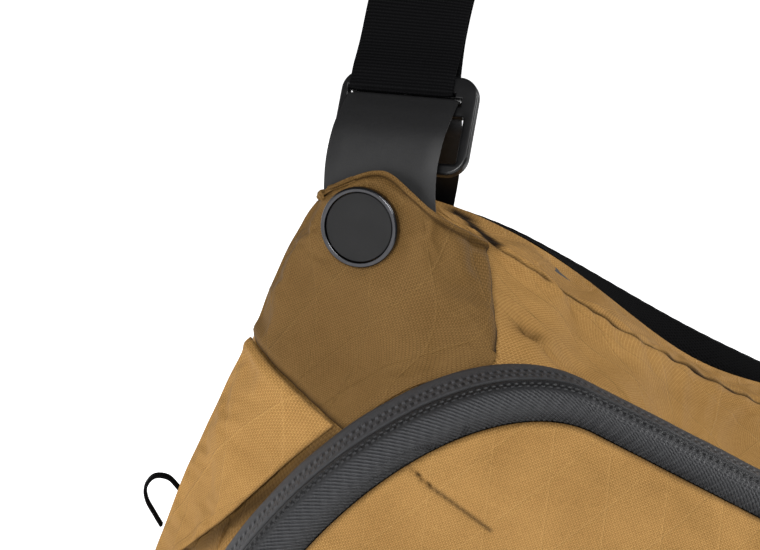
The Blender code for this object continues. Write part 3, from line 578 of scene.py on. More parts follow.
def lengths_of(grid):
    """Arc lengths in metres along and down the grid, as two arrays of its own shape."""
    along = np.cumsum(np.linalg.norm(np.diff(grid, axis=1, prepend=grid[:, :1]), axis=2), axis=1)
    down = np.cumsum(np.linalg.norm(np.diff(grid, axis=0, prepend=grid[:1]), axis=2), axis=0)
    return along, down


def bell(distance, width):
    return np.exp(-(distance / width) ** 2)


def distance_to(grid, start, end):
    """Distance of each grid point from the segment, and its place along it from 0 to 1."""
    start, end = np.array(start), np.array(end)
    line = end - start
    share = np.clip(((grid - start) @ line) / (line @ line), 0, 1)
    nearest = start + share[..., None] * line
    return np.linalg.norm(grid - nearest, axis=2), share

def segments(route):
    """The straight parts of a bent line, on both sides of the bag."""
    for side in (-1, 1):
        places = [(side * x, y, z) for x, y, z in route]
        yield from zip(places, places[1:])


def nearest(grid, route):
    """Distance of each grid point from a bent line or its mirror image."""
    return np.minimum.reduce([distance_to(grid, start, end)[0] for start, end in segments(route)])


def folds(grid, table, sides):
    """Height of creases (depth below 0) and raised folds, which fade at their ends.

    A table row is the depth and the width in mm, the start and the end."""
    height = np.zeros(grid.shape[:2])
    for side in sides:
        for depth, width, *ends in table:
            away, share = distance_to(grid, *((side * x, y, z) for x, y, z in ends))
            height += depth * MM * bell(away, width * MM) * np.sin(math.pi * (0.12 + 0.76 * share))
    return height


CLOTH_FRAMES = 20


def settle(name, grid, pinned, cap, growth, pressure, closed=False):
    """Let the panel settle as cloth held at its seams; returns the movement of each grid point.

    The cloth is a coarse copy of the grid, a little too large for its seams, under slight pressure;
    cap is the most it may move.
    """
    rows, columns = (np.unique(np.append(np.arange(0, count, 3), count - 1)) for count in grid.shape[:2])
    coarse = grid[np.ix_(rows, columns)]
    faces = cells(point_numbers(len(rows), len(columns), closed))[:, [0, 3, 2, 1]]
    mesh = bpy.data.meshes.new(name + "_cloth")
    mesh.from_pydata([tuple(p) for p in coarse.reshape(-1, 3)], [], faces.tolist())
    obj = new_object(name + "_cloth", mesh)
    group = obj.vertex_groups.new(name="seams")
    for index, weight in enumerate(pinned[np.ix_(rows, columns)].ravel()):
        group.add([index], float(weight), "REPLACE")
    cloth = obj.modifiers.new("cloth", "CLOTH")
    for key, value in (("quality", 6), ("mass", 0.3), ("tension_stiffness", 25),
                       ("compression_stiffness", 25), ("shear_stiffness", 12),
                       ("bending_stiffness", 1.5), ("air_damping", 4), ("vertex_group_mass", "seams"),
                       ("pin_stiffness", 1.0), ("shrink_min", -growth), ("use_pressure", True),
                       ("uniform_pressure_force", pressure)):
        setattr(cloth.settings, key, value)
    cloth.settings.effector_weights.gravity = 0.0
    cloth.collision_settings.use_collision = False
    cloth.point_cache.frame_start = 1
    cloth.point_cache.frame_end = CLOTH_FRAMES + 4
    for number in range(1, CLOTH_FRAMES + 1):
        bpy.context.scene.frame_set(number)
    graph = bpy.context.evaluated_depsgraph_get()
    moved = np.empty(len(mesh.vertices) * 3, np.float32)
    obj.evaluated_get(graph).data.vertices.foreach_get("co", moved)
    moved = moved.reshape(coarse.shape) - coarse
    bpy.context.scene.frame_set(1)
    bpy.data.objects.remove(obj, do_unlink=True)
    bpy.data.meshes.remove(mesh)
    size = np.linalg.norm(moved, axis=2, keepdims=True)
    moved = moved * np.minimum(1.0, cap / np.maximum(size, 1e-9))
    return enlarge(moved, rows, columns, grid.shape)


def enlarge(values, rows, columns, shape):
    """Spread coarse values over the fine grid with smooth interpolation, rows first."""
    def along(data, places, count):
        wanted = np.arange(count)
        index = np.clip(np.searchsorted(places, wanted, side="right") - 1, 0, len(places) - 2)
        t = (wanted - places[index]) / (places[index + 1] - places[index])
        return catmull_rom(data[np.maximum(index - 1, 0)], data[index], data[index + 1],
                           data[np.minimum(index + 2, len(places) - 1)],
                           t.reshape(-1, *([1] * (data.ndim - 1))))
    tall = along(values, rows, shape[0])
    return np.swapaxes(along(np.swapaxes(tall, 0, 1), columns, shape[1]), 0, 1)


def edge_mask(shape, reach, closed=False):
    """1 on the grid's rims, where the seams hold it, and 0 inside."""
    mask = np.zeros(shape)
    mask[:reach] = mask[-reach:] = 1
    if not closed:
        mask[:, :reach] = mask[:, -reach:] = 1
    return mask


def puckers(along, across, pitch, depth, reach, seed):
    """Small gathers at a seam: they fade with the distance across from it."""
    wander = smooth_noise(along, 0 * along, seed, (0.05, 0.021))
    return depth * np.sin(2 * math.pi * along / pitch + 5 * wander) * np.exp(-across / reach)


# ---------------------------------------------------------------- the bag's body

# Bent lines on the right side of the bag; each one is mirrored.
TONGUE_SEAM = ((0.0830, -0.0345, 0.1985), (0.0895, -0.0220, 0.2100), (0.1000, -0.0085, 0.2255))
CAVITY = ((0.1110, 0.0180, 0.2240), (0.1050, 0.0080, 0.2259), (0.0985, 0.0022, 0.2250))
WING_GAP = ((0.1480, -0.0145, 0.0540), (0.1390, -0.0290, 0.0860), (0.1310, -0.0335, 0.1140),
            (0.1210, -0.0350, 0.1412))
NOTCH = ((0.0760, -0.022, 0.207), (0.0690, -0.022, 0.2075))
DART_SEAM = ((0.1061, 0.0, 0.1509), (0.1000, 0.0, 0.1512), (0.0853, 0.0, 0.1473))
DART_CREASE = ((0.0853, 0.0, 0.1473), (0.0574, 0.0, 0.1432))

# Depth and width in mm, start and end, as folds() takes them.
SHELL_FOLDS = (
    (-3.4, 3.0, *NOTCH),
    (-2.4, 4.6, (0.0740, -0.020, 0.2105), (0.0480, -0.016, 0.2245)),
    (1.0, 5.0, (0.0800, -0.012, 0.2150), (0.0560, -0.010, 0.2255)),
    (0.8, 4.0, (0.0700, -0.026, 0.2030), (0.0500, -0.022, 0.2150)),
    (-0.8, 2.2, (0.0640, 0.001, 0.2235), (0.0600, -0.004, 0.2220)),
    (0.9, 2.4, (0.0560, 0.012, 0.2250), (0.0500, 0.006, 0.2262)),
)
# Painted shade on the shell, along the tongue seam, the notch, the gap beside the lower wing and the cavity:
# the line, how dark it is, and its width in mm.
SHELL_SHADOWS = ((TONGUE_SEAM, 0.9, 0.9), (NOTCH, 0.45, 2.2), (WING_GAP, 1.1, 6.0), (CAVITY, 2.2, 3.4))
PADDING_ROOM = 1.6 * MM            # how far the rear strip may sink before it meets the side padding


def build_shell():
    """The tan shell: the dipping rear strip, the ridge seam and the shoulder down to the pod."""
    places = ring_places(RIDGE, 1.6 * MM)
    rear = through([(STRIP, FABRIC_END_Y), (STRIP, 0.016), (mix(RIDGE, STRIP, 0.5), 0.007), (RIDGE, 0.0)], 11)
    shares = np.linspace(0, 1, 52) ** 1.25
    front = [np.append(mix(RIDGE, POD_ROOT, 1 - (1 - s) ** 1.25), POD_Y * s) for s in shares]
    grid = np.concatenate([rings(rear, places), rings(front[1:], places)])
    seam_row = len(rear) - 1
    along, down = lengths_of(grid)
    from_seam = np.abs(down - down[seam_row])
    normal = outward(grid, closed=True)
    front_part = np.arange(grid.shape[0])[:, None] > seam_row
    mask = edge_mask(grid.shape[:2], 2, closed=True)
    mask[seam_row] = 1
    mask[grid[..., 2] < 0.004] = 1
    moved = settle("shell", grid, mask, 2.2 * MM, 0.016, 1.2, closed=True)
    height = 0.8 * MM * smooth_noise(along, down, 11, (0.06, 0.03))
    height += puckers(along, from_seam, 0.011, 0.28 * MM, 0.006, 5)
    height -= 1.5 * MM * bell(from_seam, 0.9 * MM)
    height += 0.9 * MM * bell(from_seam - 3.6 * MM, 3.0 * MM) * front_part
    height += 0.9 * MM * bell(from_seam - 6.5 * MM, 4.0 * MM) * ~front_part
    for start, end in segments(TONGUE_SEAM):
        height -= 1.6 * MM * bell(distance_to(grid, start, end)[0], 1.7 * MM)
    height += folds(grid, SHELL_FOLDS, (-1, 1))
    height = np.where(front_part, height, np.maximum(height, -PADDING_ROOM))
    resting = np.clip((grid[..., 2] - 0.001) / 0.006, 0, 1)
    # Painted shade along the ridge seam, wider on the rear strip behind it, and along the lines of
    # SHELL_SHADOWS.
    shadow = 1.1 * bell(from_seam, np.where(front_part, 0.75 * MM, 1.8 * MM))
    for route, strength, width in SHELL_SHADOWS:
        shadow = np.maximum(shadow, strength * bell(nearest(grid, route), width * MM))
    grid = grid + moved + normal * (height * resting)[..., None]
    grid[..., 2] = np.maximum(grid[..., 2], 0.0)
    shell = sheet_piece("shell_panels", grid, FABRIC, closed=True, shadow=shadow)
    wear(shell, shell_fabric("shell_fabric_body", turn=0.5))
    place(shell, "root", "shell_fabric", "body_shell")


BINDING_RIB = 6.5 * MM             # between two ripples of the folded edge tape


def hoop_piece(name, section, places, samples, material, slot, node, ripple=0.0):
    """A closed band round the bag, from a section of (outline, y) taken round its own loop."""
    keys = [np.append(outline, y) for outline, y in section]
    grid = rings([mix(here, there, step / samples) for here, there in zip(keys, keys[1:] + keys[:1])
                  for step in range(samples)], places)
    if ripple:
        lift = ripple * np.sin(lengths_of(grid)[0] * 2 * math.pi / BINDING_RIB)
        grid = grid + normals(grid, closed=True) * lift[..., None]
    u, v = flat_lengths(grid, closed=True)
    uvs = cells(np.stack(np.meshgrid(u, np.append(v, v[-1] + 1.0)), 2))
    obj = finish_piece(name, new_mesh(name, grid, cells(point_numbers(*grid.shape[:2], True, True)), uvs))
    wear(obj, material)
    place(obj, "root", slot, node)


def build_rear():
    """The black mesh gusset, the bound rear edge and the padded back."""
    places = ring_places(BACK, 1.6 * MM)
    seam = FABRIC_END_Y + GAP
    middle = mix(STRIP, BACK, 0.6)
    gusset = [(STRIP, seam), (mix(STRIP, BACK, 0.3), 0.0285), (middle, 0.033), (BACK, BACK_Y),
              (inset(BACK, FABRIC), BACK_Y), (inset(middle, FABRIC), 0.033), (inset(STRIP, FABRIC), seam)]
    hoop_piece("mesh_gusset", gusset, places, 4, spacer_mesh("spacer_mesh_gusset"), "air_mesh", "back_gusset")
    back = BACK_Y + GAP
    rim, depth = 4.0 * MM, 6.0 * MM
    binding = [(inset(BACK, amount * MM), back + rise * MM) for amount, rise in (
        (0.4, 0.0), (0.1, 1.5), (0.4, 4.0), (1.5, 6.0), (3.0, 6.0), (3.7, 5.0), (3.7, 0.0))]
    hoop_piece("edge_binding", binding, places, 3, webbing_paint("webbing_binding", 1.1), "binding",
               "rear_binding", ripple=0.06 * MM)
    foam = build_back_pad("back_foam_pad", inset(BACK, rim), back, back + depth - 0.2 * MM, 0.0, 6)
    wear(foam, foam_paint("foam_back"))
    place(foam, "root", "foam", "back_foam")
    mesh = build_back_pad("back_mesh_pad", inset(BACK, rim + 2.0 * MM), back + depth + 0.1 * MM,
                          back + depth + 4.4 * MM, 2.0 * MM, 26)
    wear(mesh, spacer_mesh("spacer_mesh_back"))
    place(mesh, "root", "air_mesh", "back_mesh")


def build_back_pad(name, outline, front, rear, channel, rows):
    """A crowned pad on the back, with sewn channels when their depth, channel, is above 0."""
    middle = np.array((0.0, 0.0, 0.108))
    edge = ring(outline, 0.0, ring_places(outline, 2.4 * MM))
    shares = np.concatenate([[0.995, 1.0, 0.995], np.linspace(0.985, 0.0, rows)])
    rises = 0.6 + 0.4 * np.maximum(0.0, 1 - shares ** 8) ** 0.5
    rises[:3] = 0.0, 0.35, 0.6
    grid = middle + (edge - middle) * shares[:, None, None]
    grid[..., 1] = (front + (rear - front) * rises)[:, None]
    for axis, sewn_at in ((0, (-0.052, 0.052)), (2, (0.062, 0.132))):
        for line in sewn_at:
            grid[..., 1] -= channel * bell(grid[..., axis] - line, 2.2 * MM) * (shares < 0.97)[:, None]
    numbers = point_numbers(len(shares) - 1, len(edge), closed=True)
    tip = numbers[-1, -2] + 1
    faces = list(cells(numbers)) + [(a, b, tip) for a, b in zip(numbers[-1], numbers[-1, 1:])]
    faces.append(numbers[0, :-1])
    points = np.concatenate([grid[:-1].reshape(-1, 3), [grid[-1].mean(0)]])
    pad = finish_piece(name, new_mesh(name, points, faces))
    planar_weave(pad)
    return pad


def planar_weave(obj):
    """Lay the weave flat over a nearly flat panel, in millimetres to the right and up."""
    mesh = obj.data
    layer = mesh.uv_layers.get("weave") or mesh.uv_layers.new(name="weave")
    for loop, place_uv in zip(mesh.loops, layer.data):
        point = mesh.vertices[loop.vertex_index].co
        place_uv.uv = (point.x * 1000, point.z * 1000)


# ---------------------------------------------------------------- the zipped pod

HALF_BAND = mix(BAND_OUTER, ZIP_LINE, 0.5)
WALL_KEYS = [(POD_ROOT, POD_Y - GAP), (BAND_OUTER, -0.038), (HALF_BAND, -0.044)]
BODY_BAND_KEYS = WALL_KEYS + [(ZIP_LINE, ZIP_Y + 0.2 * MM)]
LID_BAND_KEYS = [(ZIP_LINE, ZIP_Y - 0.2 * MM), (mix(ZIP_LINE, BAND_INNER, 0.22), -0.0555),
                 (mix(ZIP_LINE, BAND_INNER, 0.6), -0.0595), (BAND_INNER, LID_Y - 0.2 * MM)]
POD_BASE_KEYS = WALL_KEYS + [(ZIP_LINE, ZIP_Y), (mix(ZIP_LINE, BAND_INNER, 0.35), -0.0565),
                             (mix(ZIP_LINE, BAND_INNER, 0.72), -0.0592)]
EDGE_SHADOW = 7.5 * MM             # how far the band darkens towards the front panel


def band_height(along, across, lid_side):
    """Height of the band's surface at a distance across from the zipper line, in metres."""
    height = -0.6 * MM * bell(across, 0.5 * MM)
    for offset, phase in zip(STITCH_ROWS[lid_side], (0.0, STITCH_PITCH / 2)):
        offset, phase = offset * MM, phase * MM
        beat = np.cos(2 * math.pi * (along + phase) / (STITCH_PITCH * MM))
        height += 0.45 * MM * bell(across - offset, 0.5 * MM) * np.clip(beat + 0.15, 0, 1)
        height -= 0.22 * MM * bell(across - offset, 0.8 * MM)
    if lid_side:
        ridge = np.sin(2 * math.pi * (along + BROAD_SLANT * across) / (BROAD_PITCH * MM))
        height += 0.22 * MM * ridge * np.clip((across - 5.0 * MM) / (2.5 * MM), 0, 1)
    return height


def build_bands():
    """The two halves of the coated zipper band, domed, with stitch bumps beside the zipper line."""
    places = ring_places(ZIP_LINE, 0.55 * MM, SEAM_INDEX)
    for name, keys, samples, node, owner in (("zip_band_body", BODY_BAND_KEYS, 12, "zip_tape_body", "root"),
                                             ("zip_band_lid", LID_BAND_KEYS, 14, "zip_tape_lid", "lid")):
        grid = rings(through(keys, samples), places, whole=False)
        along, down = lengths_of(grid)
        lid_side = owner == "lid"
        across = down if lid_side else down[-1] - down
        height = band_height(along, across, lid_side)
        height += 0.35 * MM * smooth_noise(along, across, 21, (0.05, 0.025))
        grid = grid + outward(grid) * height[..., None]
        # Painted shade on the lid band, darkest at its inner edge beside the front panel.
        inner_edge_shade = 0.92 * np.clip((down - down[-1] + EDGE_SHADOW) / EDGE_SHADOW, 0, 1) * lid_side
        obj = sheet_piece(name, grid, 1.2 * MM, shadow=inner_edge_shade)
        zip_edge = 0.0 if lid_side else flat_lengths(grid)[1][-1]
        wear(obj, zip_tape(name + "_tape", lid_side, zip_edge))
        place(obj, owner, "zip_tape", node)


def build_pod_base():
    """The tan lower wall of the pod, from one zipper end under the bag to the other."""
    places = ring_places(ZIP_LINE, 1.6 * MM, 0, SEAM_INDEX + 1)
    grid = []
    for row in through(POD_BASE_KEYS, 5):
        right = ring(row[:-1], row[-1], places)[:len(places)]
        right[-1, 2] -= 1.0 * MM
        grid.append(np.concatenate([(right * (-1, 1, 1))[::-1], right[1:]]))
    obj = sheet_piece("pod_base_panel", np.array(grid), 2.0 * MM)
    wear(obj, shell_fabric("shell_fabric_base", turn=0.4))
    place(obj, "root", "shell_fabric", "pod_base")


PANEL_MIDDLE_Z = 0.098
PANEL_CROWN = 6.0 * MM


def build_front_panel():
    """The domed front panel: its edge rolls up from under the band, with a dart at each shoulder."""
    outline = inset(BAND_INNER, 0.5 * MM)
    edge = ring(outline, 0.0, ring_places(outline, 1.5 * MM))
    middle = np.array((0.0, 0.0, PANEL_MIDDLE_Z))
    shares = 1 - (np.linspace(0, 1, 84) ** 1.15) * 0.995
    grid = middle + (edge - middle) * shares[:, None, None]
    grid[..., 1] = (LID_Y - 0.2 * MM - PANEL_CROWN * (1 - shares ** 5.0) ** 0.85)[:, None]
    normal = outward(grid, closed=True)
    along, down = lengths_of(grid)
    mask = edge_mask(grid.shape[:2], 3, closed=True)
    mask[-4:] = 0
    dart, crease = (nearest(grid * (1, 0, 1), route) for route in (DART_SEAM, DART_CREASE))
    mask[dart < 0.8 * MM] = 1
    moved = settle("front", grid, mask, 1.6 * MM, 0.012, 0.8, closed=True)
    height = 1.0 * MM * smooth_noise(grid[..., 0], grid[..., 2], 31, (0.09, 0.045))
    height += puckers(along, down, 0.012, 0.25 * MM, 0.007, 9)
    height -= 1.1 * MM * bell(dart, 0.8 * MM)
    height += 0.7 * MM * bell(dart - 2.6 * MM, 2.2 * MM)
    height -= 0.9 * MM * bell(crease, 2.4 * MM)
    height *= np.clip(down / (3 * MM), 0, 1)
    moved[..., 1] = np.clip(moved[..., 1], -1.6 * MM, 1.6 * MM)
    grid = grid + moved + normal * height[..., None]
    grid[-1] = grid[-1].mean(0) + (grid[-1] - grid[-1].mean(0)) * 0.3
    # Painted shade in the dart's groove, broken into dashes at its stitches, in the crease beyond it, and
    # along the panel's rim in the gap under the band.
    stitches = 0.5 + 0.5 * np.cos(2 * math.pi * grid[..., 0] / (2.4 * MM))
    shadow = 0.95 * bell(dart, 0.55 * MM) * np.clip(stitches + 0.35, 0, 1)
    shadow = np.maximum(shadow, 0.75 * bell(crease, 0.8 * MM))
    shadow = np.maximum(shadow, 0.7 * np.clip(1 - down / (2.0 * MM), 0, 1))
    obj = sheet_piece("front_lid_panel", grid, 2.2 * MM, closed=True, shadow=shadow)
    close_centre(obj)
    # shade=0.86 is painted shade over the front panel's whole colour; its cloth is the shell's fabric.
    wear(obj, shell_fabric("shell_fabric_front", shade=0.86))
    planar_weave(obj)
    place(obj, "lid", "shell_fabric", "front_panel")


def close_centre(obj):
    """Close the small hole left at the centre of a ring-shaped grid, on both faces."""
    tidy = bmesh.new()
    tidy.from_mesh(obj.data)
    rim = [f for f in tidy.faces if abs(f.calc_center_median().x) < 0.6 * MM
           and abs(f.calc_center_median().z - PANEL_MIDDLE_Z) < 0.6 * MM]
    small = [f for f in rim if f.normal.y ** 2 < 0.25]
    bmesh.ops.delete(tidy, geom=small, context="FACES_ONLY")
    bmesh.ops.holes_fill(tidy, edges=[e for e in tidy.edges if e.is_boundary], sides=0)
    bmesh.ops.recalc_face_normals(tidy, faces=tidy.faces)
    tidy.to_mesh(obj.data)
    tidy.free()


# ---------------------------------------------------------------- corner wings

# Points in mm on the left side, each row from the back of the bag to the front.
TONGUE_ROWS = (
    ((-163, -1.5, 148), (-160, -9, 147.5), (-149, -19.5, 146), (-136, -28.5, 144.5), (-122, -34, 142)),
    ((-165.5, -1.5, 172), (-162, -10, 173), (-149, -17.6, 174), (-129, -28, 172), (-108.5, -35.5, 169)),
    ((-166.9, -2.2, 187), (-163.6, -11, 188.5), (-149, -17.9, 191), (-125.5, -28.8, 191), (-91, -36.2, 187)),
    ((-166.8, -3, 197), (-163.6, -12, 200), (-149.3, -18.1, 204), (-124, -28.7, 205), (-84, -35.5, 198)),
    ((-167.1, -5.6, 206.9), (-163.8, -12.8, 212.6), (-150.2, -18.3, 219.5), (-125.5, -28.1, 219),
     (-90.5, -22, 211)),
    ((-166.1, -9.0, 213.0), (-163.6, -13.2, 221.0), (-151, -18.4, 235), (-129, -27, 232), (-101, -8.5, 226)),
)
LOWER_WING_ROWS = (
    ((-153.5, -2, 50), (-151.5, -6, 51), (-150, -10, 52), (-149, -13, 54)),
    ((-158.2, -1.5, 84), (-154.5, -9, 85), (-147.5, -19, 85.5), (-140, -27, 86)),
    ((-160.8, -1.5, 115), (-156, -10.5, 115), (-145, -22, 114.5), (-132.3, -31, 114)),
    ((-163, -1.5, 147.2), (-156, -13.8, 146), (-141, -25.6, 143.8), (-122.6, -34, 141.2)),
)

# Depth and width in mm, start and end, as folds() takes them.
TONGUE_FOLDS = ((-0.9, 3.2, (-0.160, -0.012, 0.200), (-0.157, -0.014, 0.172)),
                (0.8, 3.6, (-0.155, -0.015, 0.196), (-0.150, -0.017, 0.165)),
                (-0.7, 4.0, (-0.142, -0.022, 0.192), (-0.128, -0.028, 0.178)))
LOWER_WING_FOLDS = ((-1.3, 2.4, (-0.1560, -0.0120, 0.1270), (-0.1420, -0.0220, 0.1360)),
                    (0.9, 3.2, (-0.1550, -0.0120, 0.1225), (-0.1420, -0.0220, 0.1310)),
                    (0.6, 3.0, (-0.1500, -0.0170, 0.1150), (-0.1440, -0.0200, 0.0850)))
TUCK_DEPTH, TUCK_END, TUCK_FADE = 3.0 * MM, 0.62, 0.12    # the tongue's edge under the band, by share
SEAM_START = 0.58                  # above this share of its height the tongue's edge is a seam


def wing_grid(rows, steps_down, steps_across):
    grid = spline(np.array(rows, float) * MM, steps_down)
    return np.swapaxes(spline(np.swapaxes(grid, 0, 1), steps_across), 0, 1)


def wing_piece(name, grid, height, shadow, seed, node, offset=0.0, shade=1.0):
    """A corner panel: settled as cloth between its seams, with folds, on both sides of the bag."""
    normal = outward(grid)
    moved = settle(name, grid, edge_mask(grid.shape[:2], 2), 1.5 * MM, 0.016, 1.0)
    along, down = lengths_of(grid)
    height = height + 0.75 * MM * smooth_noise(along, down, seed, (0.04, 0.02))
    grid = grid + moved + normal * height[..., None]
    left = sheet_piece(name + "_left", grid, WING_THICKNESS, shadow=shadow)
    # shade below 1 is painted shade over the panel's whole colour.
    paint = shell_fabric("shell_fabric_" + name, turn=0.15, offset=offset, shade=shade)
    place_pair(left, paint, "root", "shell_fabric", node)


def build_wings():
    """The tongue under the rivet and the lower corner panel; both end beside the zipper band."""
    grid = wing_grid(TONGUE_ROWS, 18, 22)
    shares = np.linspace(0, 1, grid.shape[0])[:, None]
    onward = grid[:, -1] - grid[:, -3]
    onward /= np.linalg.norm(onward, axis=1)[:, None]
    grid[:, -1] += onward * TUCK_DEPTH * np.clip((TUCK_END - shares) / TUCK_FADE, 0, 1)
    along, down = lengths_of(grid)
    from_top = down[-1] - down
    from_right = along[:, -1:] - along
    from_disc = np.linalg.norm(grid - np.array(DISC_CENTRE), axis=2)
    seam_part = shares > SEAM_START
    height = 1.0 * MM * bell(from_top - 1.0 * MM, 1.1 * MM) - 0.9 * MM * bell(from_top - 3.4 * MM, 1.0 * MM)
    height -= 1.6 * MM * bell(from_right, 1.5 * MM) * seam_part
    height += 0.7 * MM * bell(from_right - 4.5 * MM, 3.0 * MM) * seam_part
    height -= 1.1 * MM * bell(down, 1.5 * MM)
    height += 0.5 * MM * bell(down - 4.0 * MM, 2.5 * MM)
    height += puckers(along, down, 0.013, 0.3 * MM, 0.008, 3)
    height += puckers(down, from_right, 0.012, 0.25 * MM, 0.006, 4)
    round_disc = np.arctan2(grid[..., 2] - DISC_CENTRE.z, grid[..., 0] - DISC_CENTRE.x)
    height += 0.55 * MM * np.sin(round_disc * 5 + 0.8) * bell(from_disc - 21 * MM, 6 * MM)
    height -= 0.5 * MM * bell(from_disc, 15 * MM)
    height += folds(grid, TONGUE_FOLDS, (1,))
    # Painted shade under the rolled top edge, along the seam at the right edge and along the bottom edge.
    shadow = np.maximum.reduce([0.75 * bell(from_top - 2.6 * MM, 0.7 * MM),
                                1.0 * bell(from_right, 1.2 * MM) * seam_part, 0.9 * bell(down, 1.4 * MM)])
    # The tongue takes shade 0.40: painted shade that makes it darker than the other panels of the same cloth.
    wing_piece("corner_tongue", grid, height, shadow, 41, "wing_upper", 6.0, 0.40)

    grid = wing_grid(LOWER_WING_ROWS, 30, 20)
    along, down = lengths_of(grid)
    from_top = down[-1] - down
    from_right = along[:, -1:] - along
    height = 0.9 * MM * bell(from_top - 3.4 * MM, 2.4 * MM) - 0.9 * MM * bell(from_top, 1.3 * MM)
    height -= 0.8 * MM * bell(from_right, 1.4 * MM)
    height += folds(grid, LOWER_WING_FOLDS, (1,))
    # Painted shade along the top seam and the right edge.
    shadow = np.maximum(0.6 * bell(from_top, 0.5 * MM), 0.7 * bell(from_right, 0.7 * MM))
    wing_piece("corner_panel", grid, height, shadow, 43, "wing_lower")


# ---------------------------------------------------------------- strap anchors

# Distances in metres, in the anchor's own axes from the middle of the bar.
TAB_LEG = ((0.0036, 0.0026, 0.0), (0.0085, -0.0050, 0.0), (0.0112, -0.0140, -0.0008),
           (0.0098, -0.0255, -0.0017), (0.0060, -0.0360, -0.0016), (0.0014, -0.0460, -0.0005),
           (-0.0042, -0.0570, 0.0004))              # out, up and across, from the bar to the rivet
TAB_FOLD_START = 36
TAB_BEHIND = (0.0064, 0.0030)
TAB_REAR = ((-0.1438, 0.0205, 0.2385), (-0.1387, 0.0284, 0.2287), (-0.1335, 0.0378, 0.2166),
            (-0.1322, 0.0401, 0.2138))              # in the bag's axes, down to the bound rear edge
TAB_SHIFT = 0.0003
TAB_WIDTH = 0.044
TAB_THICKNESS = 0.0018
BAR_ROUND = (0.0041, 0.0039)       # half sizes of the fold over the bar
FRAME_SHIFT, FRAME_HALF, FRAME_RAIL, FRAME_BAR = 0.0018, 0.0272, 0.0042, 0.0022
FRAME_TOP, FRAME_BOTTOM, FRAME_DEPTH = 0.0138, -0.0253, 0.005
SLOT_STEP = 0.005
WEB_SLOT_TOP = 0.0070
WEB_WIDTH = 0.0412
WEB_SHIFT = -0.0012
WEB_THICKNESS = 0.0016
WEB_PLY_GAP = 0.0023


def anchor_axes():
    across = STRAP_DIRECTION.cross(STRAP_NORMAL).normalized()
    return across, STRAP_DIRECTION, across.cross(STRAP_DIRECTION).normalized()


def stations_along(route, across, reach=1):
    """Stations (centre, width direction, normal) of a ribbon; across is its wide way, one or per point."""
    stations = []
    last = len(route) - 1
    for index, wide in enumerate(np.broadcast_to(np.array(across), (len(route), 3))):
        wide = Vector(wide)
        along = Vector(route[min(index + reach, last)] - route[max(index - reach, 0)]).normalized()
        sideways = (wide - along * wide.dot(along)).normalized()
        stations.append((route[index], np.array(sideways), np.array(sideways.cross(along).normalized())))
    return stations


def ribbon_mesh(name, stations, width, thickness, across_steps=10, rib=0.0, rib_pitch=1.35 * MM):
    """A flat strap with rounded selvedges through stations of (centre, width direction, normal)."""
    shares = np.linspace(-0.5, 0.5, across_steps + 1)
    edge = np.clip((0.5 - np.abs(shares)) * width / (thickness * 0.6), 0, 1)
    profile = np.sqrt(1 - (1 - edge) ** 2) * 0.75 + 0.25
    centres, widths, faces_out = (np.array([s[part] for s in stations]) for part in range(3))
    run = np.concatenate([[0], np.cumsum(np.linalg.norm(np.diff(centres, axis=0), axis=1))])
    ribs = rib * np.sin(2 * math.pi * run / rib_pitch)
    half = thickness / 2 * profile + ribs[:, None] * (edge > 0.5)
    base = centres[:, None, :] + widths[:, None, :] * (shares * width)[None, :, None]
    lift = faces_out[:, None, :] * half[..., None]
    points = np.concatenate([base + lift, (base - lift)[:, ::-1]], axis=1)
    numbers = point_numbers(*points.shape[:2], closed=True)
    across = np.concatenate([shares, shares[::-1], shares[:1]]) * width * 1000
    flat = np.stack(np.meshgrid(across, run * 1000), 2)[..., ::-1]
    faces, uvs = [cells(numbers)], [cells(flat)]
    front, behind = slice(0, across_steps + 1), slice(-2, -across_steps - 3, -1)
    for row in (0, -1):
        faces.append(cells(np.stack([numbers[row, front], numbers[row, behind]])))
        uvs.append(cells(np.stack([flat[row, front], flat[row, front] + (1, 0)])))
    return finish_piece(name, new_mesh(name, points, np.concatenate(faces), np.concatenate(uvs)))


def build_tabs():
    """Coated tab folded over the frame's bar, smooth along its whole route."""
    across, up, normal = anchor_axes()
    middle = BAR_CENTRE + across * TAB_SHIFT
    leg = [np.array(middle + normal * n + up * d + across * b) for n, d, b in reversed(TAB_LEG)]
    route = list(spline(leg, 14)[:-1])
    for angle in np.radians(np.linspace(TAB_FOLD_START, 180, 25)):
        cosine, sine = math.cos(angle), abs(math.sin(angle))
        n = math.copysign(BAR_ROUND[0] * abs(cosine) ** (2 / 3), cosine)
        route.append(np.array(middle + normal * n + up * BAR_ROUND[1] * sine ** (2 / 3)))
    behind = np.array(middle - normal * TAB_BEHIND[0] - up * TAB_BEHIND[1])
    route += list(spline([route[-1], behind], 5)[1:])
    route += list(spline([route[-1], *TAB_REAR], 10)[1:])
    left = ribbon_mesh("anchor_tab_cover_left", stations_along(route, across), TAB_WIDTH, TAB_THICKNESS, 14)
    wear(left, coated("coated_tab"))
    right = twin(left, "anchor_tab_cover_right")
    for side, obj in (("left", left), ("right", right)):
        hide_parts("anchor_tab_" + side)
        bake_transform(obj)


def arc_points(a, b, size, start, stop, steps):
    """Points on part of a small circle, as pairs."""
    angles = np.radians(np.linspace(start, stop, steps + 1))
    return [(a + size * math.cos(angle), b + size * math.sin(angle)) for angle in angles]


def rounded_box(left, right, bottom, top, radius, steps=10):
    corners = ((right - radius, bottom + radius, -90), (right - radius, top - radius, 0),
               (left + radius, top - radius, 90), (left + radius, bottom + radius, 180))
    return [point for a, b, start in corners for point in arc_points(a, b, radius, start, start + 90, steps)]


